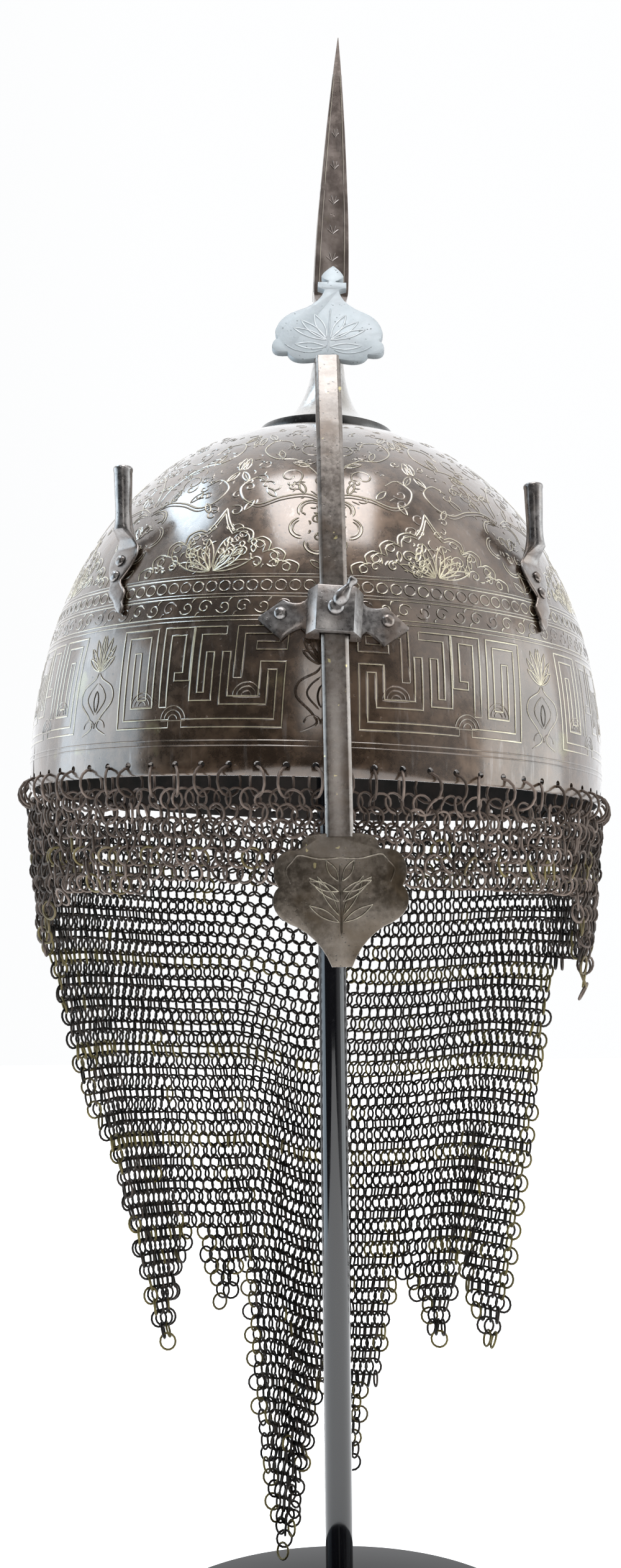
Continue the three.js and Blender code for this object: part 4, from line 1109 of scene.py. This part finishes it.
# Keeper. A forged box that the bar slides through, with a lozenge-tipped wing on each side
# riveted to the bowl. It is grey-brown iron.
KEEPER_HEIGHT = 48.0
KEEPER_WIDTH = 16.8
KEEPER_FRONT = 11.4
KEEPER_LENGTH = 14.6
KEEPER_PROUD = 8.25
KEEPER_SHOULDER = 3.6
KEEPER_TURN = math.radians(2)
WING_REACH = 22.6
WING_HALF = 6.3
WING_NECK = 3.9
WING_SCOOP = 1.4
WING_TIP = 0.4
WING_THICK = 1.6
WING_DROP = 1.7                    # how far the lozenges' points hang below the box's middle
WING_RIVET = 16.0
SLIDE = 0.45


def bowl_frame(azimuth, height, clockwise=0.0):
    """A frame on the bowl: X across, Y up the bowl, Z out of it."""
    point, normal = on_bowl(0.0, rise_at(height))
    out = Vector(normal)
    up = Vector((0, out.z, -out.y))
    basis = Matrix(((1, 0, 0), (0, up.y, out.y), (0, up.z, out.z))).to_4x4()
    return (Matrix.Rotation(math.radians(azimuth), 4, "Z") @ Matrix.Translation(Vector(point))
            @ basis @ Matrix.Rotation(-clockwise, 4, "Z"))


def wrapped_plate(outline, thick, azimuth, height, clockwise=0.0, edge=0.3, grid=2.2):
    """A plate of even thickness that follows the bowl, from a flat outline in millimetres."""
    mesh = bmesh.new()
    face = mesh.faces.new([mesh.verts.new((x, y, 0)) for x, y in outline])
    grown = bmesh.ops.extrude_face_region(mesh, geom=[face])
    bmesh.ops.translate(
        mesh, vec=(0, 0, thick), verts=[v for v in grown["geom"] if isinstance(v, bmesh.types.BMVert)])
    bmesh.ops.recalc_face_normals(mesh, faces=mesh.faces)
    top = [e for e in mesh.edges if min(v.co.z for v in e.verts) > thick * 0.9]
    bmesh.ops.bevel(
        mesh, geom=top, offset=edge, offset_type="OFFSET", segments=2, profile=0.5,
        affect="EDGES", material=-1, clamp_overlap=True,
    )
    for axis, normal in ((0, (1, 0, 0)), (1, (0, 1, 0))):
        reach = max(abs(v.co[axis]) for v in mesh.verts)
        for k in range(-int(reach / grid), int(reach / grid) + 1):
            point = [0.0, 0.0, 0.0]
            point[axis] = k * grid + 0.01
            bmesh.ops.bisect_plane(
                mesh, geom=mesh.verts[:] + mesh.edges[:] + mesh.faces[:], plane_co=point, plane_no=normal)
    spin = Matrix.Rotation(-clockwise, 2)
    middle = rise_at(height)
    for vert in mesh.verts:
        flat = spin @ vert.co.xy
        rise = middle + flat.y
        radius = float(np.interp(rise, fine_rise, fine_radius))
        point, _ = on_bowl(azimuth + math.degrees(flat.x / radius), rise, FIT + vert.co.z)
        vert.co = Vector(point)
    return mesh


side, high = KEEPER_WIDTH / 2 - 1, KEEPER_LENGTH / 2 - 0.5
neck, wide = KEEPER_WIDTH / 2 + WING_SCOOP, WING_REACH - WING_HALF * 1.15
right_wing = [(side, high), (neck - 0.9, WING_NECK + 0.7), (neck, WING_NECK)]
for k in range(1, 4):                      # the hollow upper edge of the lozenge
    t = k / 4
    right_wing.append((neck + (wide - neck) * t, WING_NECK + (WING_HALF - WING_NECK) * t * t))
right_wing += [(wide, WING_HALF), (WING_REACH, WING_TIP), (WING_REACH, -WING_TIP), (wide, -WING_HALF)]
right_wing += [(x, -y) for x, y in reversed(right_wing[:6])]
right_wing = [(x, y - WING_DROP * min(1.0, max(0.0, (x - neck) / (wide - neck)))) for x, y in right_wing]
wing_outline = right_wing[::-1] + [(-x, y) for x, y in right_wing]
keeper = placed(
    "keeper_strap", wrapped_plate(wing_outline, WING_THICK, 0, KEEPER_HEIGHT, KEEPER_TURN),
    Matrix(), fitting_iron)
BOX = [
    (-KEEPER_WIDTH / 2, FIT + 0.6), (KEEPER_WIDTH / 2, FIT + 0.6), (KEEPER_WIDTH / 2, KEEPER_SHOULDER),
    (KEEPER_FRONT / 2, KEEPER_PROUD), (-KEEPER_FRONT / 2, KEEPER_PROUD), (-KEEPER_WIDTH / 2, KEEPER_SHOULDER),
]
box_mesh = lofted([[(x, y, z) for x, z in BOX] for y in (-KEEPER_LENGTH / 2, KEEPER_LENGTH / 2)])
outer_edges = [e for e in box_mesh.edges if max(v.co.z for v in e.verts) > 2]
bmesh.ops.bevel(
    box_mesh, geom=outer_edges, offset=0.4, offset_type="OFFSET", segments=2, profile=0.5,
    affect="EDGES", material=-1, clamp_overlap=True,
)
keeper_frame = bowl_frame(0, KEEPER_HEIGHT, KEEPER_TURN)
solidly(keeper, placed("keeper_box", box_mesh, keeper_frame, fitting_iron), "UNION")
slot_half, slot_front = BAR_WIDTH / 2 + SLIDE, BAR_THICK / 2 + SLIDE
to_bowl = bowl_place.inverted() @ nasal_place
slot_rings = []
for k in range(7):
    middle, out = on_arc(math.radians(13.71) + (k - 3) / 3 * 22 / BAR_ARC)
    slot_rings.append([
        to_bowl @ (Vector((x, 0, 0)) + middle + out * y)
        for x, y in ((-slot_half, -slot_front), (slot_half, -slot_front), (slot_half, slot_front), (-slot_half, slot_front))])
solidly(keeper, placed("keeper_slot", lofted(slot_rings), Matrix(), fitting_iron))
creased(keeper, 26)
keeper.data.transform(Matrix.Scale(0.001, 4) @ bowl_place @ Matrix.Scale(1000, 4))
belongs(keeper, BODY, "grey_iron", "nasal_bracket")

# Clamp screw. It runs in the keeper's front to grip the bar, and ends in a bent thumb piece
# with a bead, which lies to one side as it was last turned.
SCREW_RADIUS = 1.6
SCREW_COLLAR = 2.5
SCREW_HEAD = 1.8
THUMB_LENGTH = 9.6
THUMB_RADIUS = 2.3
THUMB = [
    (0.5, 0.02), (0.80, 0.06), (0.97, 0.16), (1.04, 0.26), (0.98, 0.38), (0.82, 0.49), (0.64, 0.58), (0.50, 0.66),
    (0.44, 0.72), (0.50, 0.78), (0.62, 0.84), (0.66, 0.90), (0.58, 0.96), (0.34, 0.995),
]
tip, face_out = 6.0, KEEPER_PROUD + FIT
screw_profile = [
    (0, tip), (SCREW_RADIUS, tip), (SCREW_RADIUS, face_out), (SCREW_COLLAR, face_out),
    (SCREW_COLLAR, face_out + 1.0), (SCREW_COLLAR * 0.7, face_out + SCREW_HEAD), (0, face_out + SCREW_HEAD)]
screw = placed("screw_shank", turned(rounded(screw_profile, 0.3), 40), Matrix(), fitting_iron)
thumb_profile = [(0, 0)] + [(THUMB_RADIUS * r, THUMB_LENGTH * a) for r, a in THUMB] + [(0, THUMB_LENGTH)]
thumb_place = (
    Matrix.Translation((0, 0, face_out + SCREW_HEAD * 0.9)) @ Matrix.Rotation(math.radians(-35), 4, "Z")
    @ Matrix.Rotation(math.radians(28 - 90), 4, "X"))
solidly(screw, placed("screw_thumb", turned(thumb_profile, 32), thumb_place, fitting_iron), "UNION")
creased(screw, 40)
screw.data.transform(Matrix.Scale(0.001, 4) @ bowl_place @ keeper_frame @ Matrix.Scale(1000, 4))
belongs(screw, "screw", "grey_iron", "clamp_screw")

# Rivets. Each one holds a fitting to the bowl, with a low hammered head outside and a
# flatter one inside.
RIVET_RADIUS = 1.1
RIVET_HEAD = 2.0
RIVET_CROWN = 1.1
HOLDER_HEIGHT = 65.5
HOLDER_THICK = 1.5
HOLDERS = {"left": (-48, -2.4, 0.42), "right": (48, -3.8, -0.22)}


def rivet(name, frame_of, thick):
    inner, outer = -BOWL_WALL - 0.4 - FIT, thick + FIT + FIT
    profile = [
        (0, inner - RIVET_CROWN), (RIVET_HEAD * 0.6, inner - RIVET_CROWN), (RIVET_HEAD, inner),
        (RIVET_RADIUS, inner), (RIVET_RADIUS, outer), (RIVET_HEAD, outer),
        (RIVET_HEAD * 0.97, outer + 0.3), (RIVET_HEAD * 0.78, outer + RIVET_CROWN * 0.68),
        (RIVET_HEAD * 0.45, outer + RIVET_CROWN * 0.93), (0, outer + RIVET_CROWN)]
    mesh = turned(profile, 28)
    for vert in mesh.verts:
        if vert.co.z > outer + 0.2:
            vert.co.x *= 1 + 0.06 * math.sin(vert.co.y * 3 + len(name))
            vert.co.z += 0.07 * math.sin(vert.co.x * 2.2) * math.cos(vert.co.y * 2.6)
    obj = placed(name + "_dome", mesh, bowl_place @ frame_of, fitting_iron, 40)
    return belongs(obj, BODY, "grey_iron", name)


across = math.degrees(WING_RIVET / float(np.interp(rise_at(KEEPER_HEIGHT), fine_rise, fine_radius)))
for side, sign in (("left", -1), ("right", 1)):
    drop = WING_RIVET * math.sin(KEEPER_TURN) * sign
    rivet(f"bracket_rivet_{side}", bowl_frame(sign * across, KEEPER_HEIGHT - drop), WING_THICK)
for side, (azimuth, _, _) in HOLDERS.items():
    for k, up in enumerate((4.2, -1.0)):
        rivet(f"plume_rivet_{side}_{k + 1}", bowl_frame(azimuth, HOLDER_HEIGHT + up), HOLDER_THICK)

# Plume holders. Each is one piece of sheet iron: a leaf-shaped foot riveted to the bowl,
# whose top is rolled into an upright tube for the plume's quill.
HOLDER_LENGTH = 25.0
HOLDER_HALF = 6.6
TUBE_RADIUS = 3.0
TUBE_BORE = 2.1
TUBE_LENGTH = 26.0
TUBE_FLOOR = 5.2
TUBE_OFF = 4.6
TUBE_RISE = 11.5
LEAF = [
    (-12.4, 0.08), (-11.6, 0.22), (-10.6, 0.34), (-9.4, 0.30), (-8.2, 0.42), (-6.8, 0.60), (-5.6, 0.63), (-4.4, 0.52),
    (-3.2, 0.42), (-2.2, 0.42), (-1.0, 0.55), (0.6, 0.72), (2.4, 0.86), (4.4, 0.96), (6.4, 1.0), (8.0, 0.96), (9.6, 0.84),
]
SIDES = 28


def flat_ring(middle, across, out, wide, thick):
    """A flattened ring: a rounded oblong in the plane of across and out."""
    points = []
    for k in range(SIDES):
        turn = 2 * math.pi * (k + 0.5) / SIDES
        c, s = math.cos(turn), math.sin(turn)
        x = math.copysign(abs(c) ** 0.45, c) * wide
        y = math.copysign(abs(s) ** 0.75, s) * thick
        points.append(middle + across * x + out * y)
    return points


def round_ring(middle, across, out, radius, share=1.0):
    points = []
    for k in range(SIDES):
        turn = 2 * math.pi * (k + 0.5) / SIDES
        c, s = math.cos(turn), math.sin(turn)
        points.append(middle + across * c * radius + out * s * radius * share)
    return points


for side, (azimuth, lean, swerve) in HOLDERS.items():
    rings = []
    angle = math.radians(azimuth)
    across = Vector((math.cos(angle), math.sin(angle), 0))
    for y, share in LEAF:
        low_end = min(y + 2, 0)        # the leaf's foot is bent towards the front, and hangs plumb
        point, normal = on_bowl(
            azimuth - low_end * swerve, rise_at(HOLDER_HEIGHT) + y + low_end * 0.2, FIT + HOLDER_THICK / 2)
        rings.append(flat_ring(Vector(point), across, Vector(normal), HOLDER_HALF * share, HOLDER_THICK / 2))
    foot_frame = bowl_frame(azimuth, HOLDER_HEIGHT + TUBE_RISE)
    foot = foot_frame @ Vector((0, 0, TUBE_OFF))
    axis = Matrix.Rotation(math.radians(lean), 3, "Y") @ Vector((0, 0, 1))
    outward = Vector((math.sin(angle), -math.cos(angle), 0))
    outward = (outward - axis * outward.dot(axis)).normalized()
    tube_across = axis.cross(outward).normalized()
    tube_across = tube_across if tube_across.dot(across) > 0 else -tube_across
    for y, share, thick in ((10.6, 0.74, 1.0), (11.5, 0.64, 1.3)):
        point, normal = on_bowl(azimuth, rise_at(HOLDER_HEIGHT) + y, FIT + thick + (y - 10) * 0.5)
        rings.append(flat_ring(Vector(point), across, Vector(normal), HOLDER_HALF * share, thick))
    for along, radius in (
        (1.3, 3.3), (2.9, 3.0), (4.6, 2.78), (6.8, 2.66), (9.3, 2.68), (12.7, 2.82), (16.8, 2.95),
        (19.6, 3.0), (20.3, 3.16), (20.9, 3.2), (21.4, 3.02), (21.6, 2.75),
    ):
        rings.append(round_ring(foot + axis * along, tube_across, outward, radius))
    for along, radius in ((21.5, 2.3), (21.0, TUBE_BORE), (TUBE_FLOOR, TUBE_BORE)):
        rings.append(round_ring(foot + axis * along, tube_across, outward, radius))
    mesh = lofted(rings)
    obj = placed(f"plume_socket_{side}", mesh, bowl_place, fitting_iron, 40)
    belongs(obj, BODY, "grey_iron", f"plume_holder_{side}")

# Mail. More than three thousand round rings of iron wire, each linked through four others,
# hang from 72 larger rings in the holes of the rim. It is a short band over the face and a
# long curtain with dagged edges behind, some of whose rings are of yellower metal.
MAIL_DROP = 286.0
MAIL_RADIUS = 100.1
HEM = [                             # the hem's azimuth and its depth, as a share of the drop
    (0, 0.094), (30, 0.101), (58, 0.112), (66, 0.161), (72, 0.234), (79, 0.175), (104, 0.192),
    (112, 0.210), (113.5, 0.630), (115, 0.717), (120, 0.690), (134, 0.594), (139, 0.724),
    (155, 0.615), (161, 0.776), (165, 0.780), (168.5, 0.927), (175.5, 0.752), (182, 0.815),
    (191, 0.923), (198.5, 1.0), (202.5, 0.874), (203.5, 0.622), (205, 0.594), (212, 0.682),
    (217, 0.559), (235, 0.706), (239, 0.654), (242.5, 0.531), (249, 0.430), (255, 0.364),
    (259, 0.280), (266, 0.182), (278, 0.150), (285, 0.175), (292, 0.133), (300, 0.112),
    (330, 0.098), (360, 0.094),
]
FOLDS = [                           # azimuth, spread and inward depth of the curtain's folds
    (128, 8, 0.06), (155, 7, 0.07), (176, 6, -0.04), (192, 6, 0.06), (208, 5, 0.05),
    (222, 7, -0.05), (247, 6, 0.05),
]
COLUMNS = 4 * RIM_HOLES             # half columns: the rows lie half a ring apart in turn
ROWS = 80
HANGER = (4.5, 0.48)                # a ring's middle radius and its wire's radius
FIRST = (3.25, 0.45)
RING = (3.1, 0.44)


def mail_point(azimuth, drop):
    """Points of the surface that the rings' centres hang in."""
    share = np.maximum(drop / MAIL_DROP, 0)
    radius = MAIL_RADIUS * (1 - 0.17 * share - 0.325 * share ** 2)
    for middle, spread, depth in FOLDS:
        radius = radius - BOWL_RADIUS * depth * share * np.exp(-((azimuth - middle) / spread) ** 2)
    turn = np.radians(azimuth)
    return np.stack([RIM_X + radius * np.sin(turn), -radius * np.cos(turn), RIM_HEIGHT - drop], -1)


def unit(vectors):
    return vectors / np.linalg.norm(vectors, axis=-1, keepdims=True)


def smooth(value, start, end):
    share = np.clip((value - start) / (end - start), 0, 1)
    return share * share * (3 - 2 * share)


column = np.arange(COLUMNS)
even = column * 360 / COLUMNS + math.degrees(YAW)
rim_sink = BOWL_RADIUS * np.sin(np.radians(even)) * math.sin(LEAN)
drops, turns, leans = [rim_sink + 1.8], [even], [np.full(COLUMNS, 0.5)]
for row in range(1, ROWS):
    above, turn = drops[-1], turns[-1]
    share = np.clip(above / MAIL_DROP, 0, 1)
    # The columns spread over the upper middle of the back and crowd together below it.
    stretch = np.interp(above, [10, 28, 62, 105, 286], [0.0, 0.28, 0.24, -0.20, -0.14])
    draw_in = np.interp(above, [40, 120], [0.0, -0.15])
    aside = even - 188
    turn = even + aside * (stretch * np.exp(-(aside / 26) ** 2) + draw_in * np.exp(-(aside / 95) ** 6))
    slope = np.linalg.norm(mail_point(turn, above + 0.5) - mail_point(turn, above - 0.5), axis=1)
    beside = mail_point(np.roll(turn, -1), above) - mail_point(np.roll(turn, 1), above)
    pitch = np.linalg.norm(beside, axis=1)
    ease = np.exp(-((turn - 196) / 34) ** 2) * (1 - smooth(above, 70, 105))
    ease = np.maximum(ease, 0.8 * np.exp(-((turn + 3) / 75) ** 2) + 0.8 * np.exp(-((turn - 357) / 75) ** 2))
    lean = np.radians(np.clip(20 + 16 * (1 - ease) + (4.2 - pitch) * 15, 13, 66))
    offset = pitch / (4 * np.cos(lean))
    fall = (2 * np.sqrt(np.maximum(RING[0] ** 2 - offset ** 2, 1.0)) - 2 * RING[1])
    fall = fall * np.interp(above, [0, 60, 140], [0.90, 0.92, 0.955])
    # Left of the post the rows step down towards the middle of the back.
    dip = 0.42 * (1 - smooth(turn, 181, 207)) * smooth(turn, 120, 165) * (1 - smooth(above, 70, 100))
    if row == 1:
        fall, lean, dip = np.full(COLUMNS, 5.15), np.full(COLUMNS, math.radians(16)), 0.0
    drops.append(above + (fall + dip) / slope)
    turns.append(turn)
    leans.append(lean)
turns, leans = np.array(turns), np.array(leans)
drops = np.array(drops)
hem = np.interp(turns % 360, [a for a, _ in HEM], [d for _, d in HEM]) * MAIL_DROP
there = np.zeros((ROWS, COLUMNS), bool)
there[0, 2::4] = True
there[1, 1::2] = True
for row in range(2, ROWS):
    mine = (column + row) % 2 == 0
    held = np.roll(there[row - 1], 1) | np.roll(there[row - 1], -1)
    there[row] = mine & held & (drops[row] <= np.minimum(hem[row] + 2.5, MAIL_DROP))

dice = np.random.default_rng(11)
rows, columns = np.nonzero(there)
turn, drop = turns[rows, columns], drops[rows, columns]
centres = mail_point(turn, drop)
across = unit(mail_point(turn + 0.6, drop) - mail_point(turn - 0.6, drop))
down = unit(mail_point(turn, drop + 0.8) - mail_point(turn, drop - 0.8))
down = unit(down - across * (down * across).sum(1, keepdims=True))
outward = np.cross(down, across)
lean = leans[rows, columns]
neighbours = (there[rows, (columns + 2) % COLUMNS].astype(int) + there[rows, (columns - 2) % COLUMNS])
edge = (neighbours < 2) & (rows > 1)
lean = np.where(edge, lean * 0.6, lean)
lean = lean * np.where(rows % 2 == 1, 1, -1)
normals = np.sin(lean)[:, None] * across + np.cos(lean)[:, None] * outward
hanging = rows == 0
swing = dice.uniform(-0.75, 0.75, len(rows))
normals[hanging] = (
    np.cos(swing)[:, None] * across + np.sin(swing)[:, None] * outward)[hanging]
loose = np.where(hanging, 0.0, 1.0)[:, None]
normals = unit(normals + loose * (
    down * dice.normal(0, 0.075, (len(rows), 1)) + across * dice.normal(0, 0.06, (len(rows), 1))))
brow = (rows > 0) * np.exp(-(((turn + 180) % 360 - 180) / 95) ** 6)
tilt = dice.normal(0, 0.30, (len(rows), 2)) * brow[:, None]
normals = unit(normals + down * tilt[:, :1] + across * tilt[:, 1:])
centres = centres + dice.uniform(-1, 1, centres.shape) * (0.12 + 0.14 * brow)[:, None] + outward * np.where(edge, 0.4, 0.0)[:, None]
sizes = np.where(hanging[:, None], HANGER, np.where((rows == 1)[:, None], FIRST, RING))
sizes[:, 1] += 0.04 * smooth(drop, 90, 160)


def ring_mesh(name, picked, material, sides=14, wire_sides=5):
    """One mesh of the picked rings: round wire bent to circles, with a shade for each."""
    centre, normal, size = centres[picked], normals[picked], sizes[picked]
    first = unit(np.cross(normal, outward[picked] * 0.3 + down[picked]))
    second = np.cross(normal, first)
    start = dice.uniform(0, 2 * math.pi, (len(picked), 1))
    angle = start + np.arange(sides) * 2 * math.pi / sides
    spoke = first[:, None] * np.cos(angle)[..., None] + second[:, None] * np.sin(angle)[..., None]
    bend = np.arange(wire_sides) * 2 * math.pi / wire_sides
    reach = size[:, None, None, 0] + size[:, None, None, 1] * np.cos(bend)[None, None]
    lift = size[:, None, None, 1] * np.sin(bend)[None, None]
    points = centre[:, None, None] + spoke[:, :, None] * reach[..., None] + normal[:, None, None] * lift[..., None]
    index = np.arange(points[..., 0].size).reshape(points.shape[:3])
    ahead, beside = np.roll(index, -1, 1), np.roll(index, -1, 2)
    both = np.roll(ahead, -1, 2)
    faces = np.stack([index, ahead, both, beside], -1).reshape(-1, 4)
    mesh = bpy.data.meshes.new(name)
    mesh.from_pydata((points.reshape(-1, 3) / 1000).tolist(), [], faces.tolist())
    each = sides * wire_sides
    for trait, values in (("shade", shades[picked]), ("brass", brasses[picked]), ("heavy", rust_and_front_lights[picked])):
        mesh.attributes.new(trait, "FLOAT", "POINT").data.foreach_set("value", np.repeat(values, each))
    mesh.polygons.foreach_set("use_smooth", np.ones(len(faces), bool))
    mesh.materials.append(material)
    mesh.update()
    obj = bpy.data.objects.new(name, mesh)
    bpy.context.collection.objects.link(obj)
    return obj


shades = dice.uniform(0, 1, len(rows))
# The front rings are made browner and much lighter, partly for rust and partly as painted light where the lamps fall
# on the front band; the large hanging rings are browner too.
in_front = np.exp(-(((turn + 180) % 360 - 180) / 80) ** 4)
rust_and_front_lights = np.clip(in_front + (rows == 0) * 0.6 + dice.normal(0, 0.12, len(rows)), 0, 1)
band = np.where(rows % 8 == 5, np.select([rows < 8, rows < 30], [0.25, 0.85], 0.25), 0.03)
band = band + 0.35 * edge * (rows > 8)
brasses = (dice.uniform(0, 1, len(rows)) < band) * dice.uniform(0.4, 1.0, len(rows)) * (rows > 3)
paint = Paint(bpy.data.materials.new("mail_iron"))
place = paint.place()
grain = paint.noise(place, 1.1, 4, 0.6)
shade, brass, heavy = paint.trait("shade"), paint.trait("brass"), paint.trait("heavy")
dark = paint.mix((shade * 0.6 + grain * 0.5).between(0.3, 0.9), (0.010, 0.009, 0.008), (0.040, 0.033, 0.028))
brown = paint.mix((shade * 0.6 + grain * 0.5).between(0.3, 0.9), (0.075, 0.056, 0.045), (0.20, 0.155, 0.13))
# Partly painted light: rings with a high value take the lighter brown colour.
colour = paint.mix(heavy, dark, brown)
colour = paint.mix(brass * 0.8, colour, (0.19, 0.155, 0.058))
mail_iron = paint.surface(
    base_color=colour, roughness=0.40 + grain * 0.18, metallic=0.6, specular_ior_level=0.22,
    normal=paint.bump(grain, 0.04),
)
order = np.argsort(np.where((turn < 105) | (turn > 262), turn % 360 * 1e-6, turn), kind="stable")
for k, picked in enumerate(np.array_split(order, 4)):
    obj = ring_mesh(f"mail_rings_{k + 1}", picked, mail_iron)
    belongs(obj, BODY, "mail_wire", "mail_aventail")

low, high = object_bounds()
sizes = {"cad": [list(cad_box[0]), list(cad_box[1])], "visual": [list(low), list(high)]}
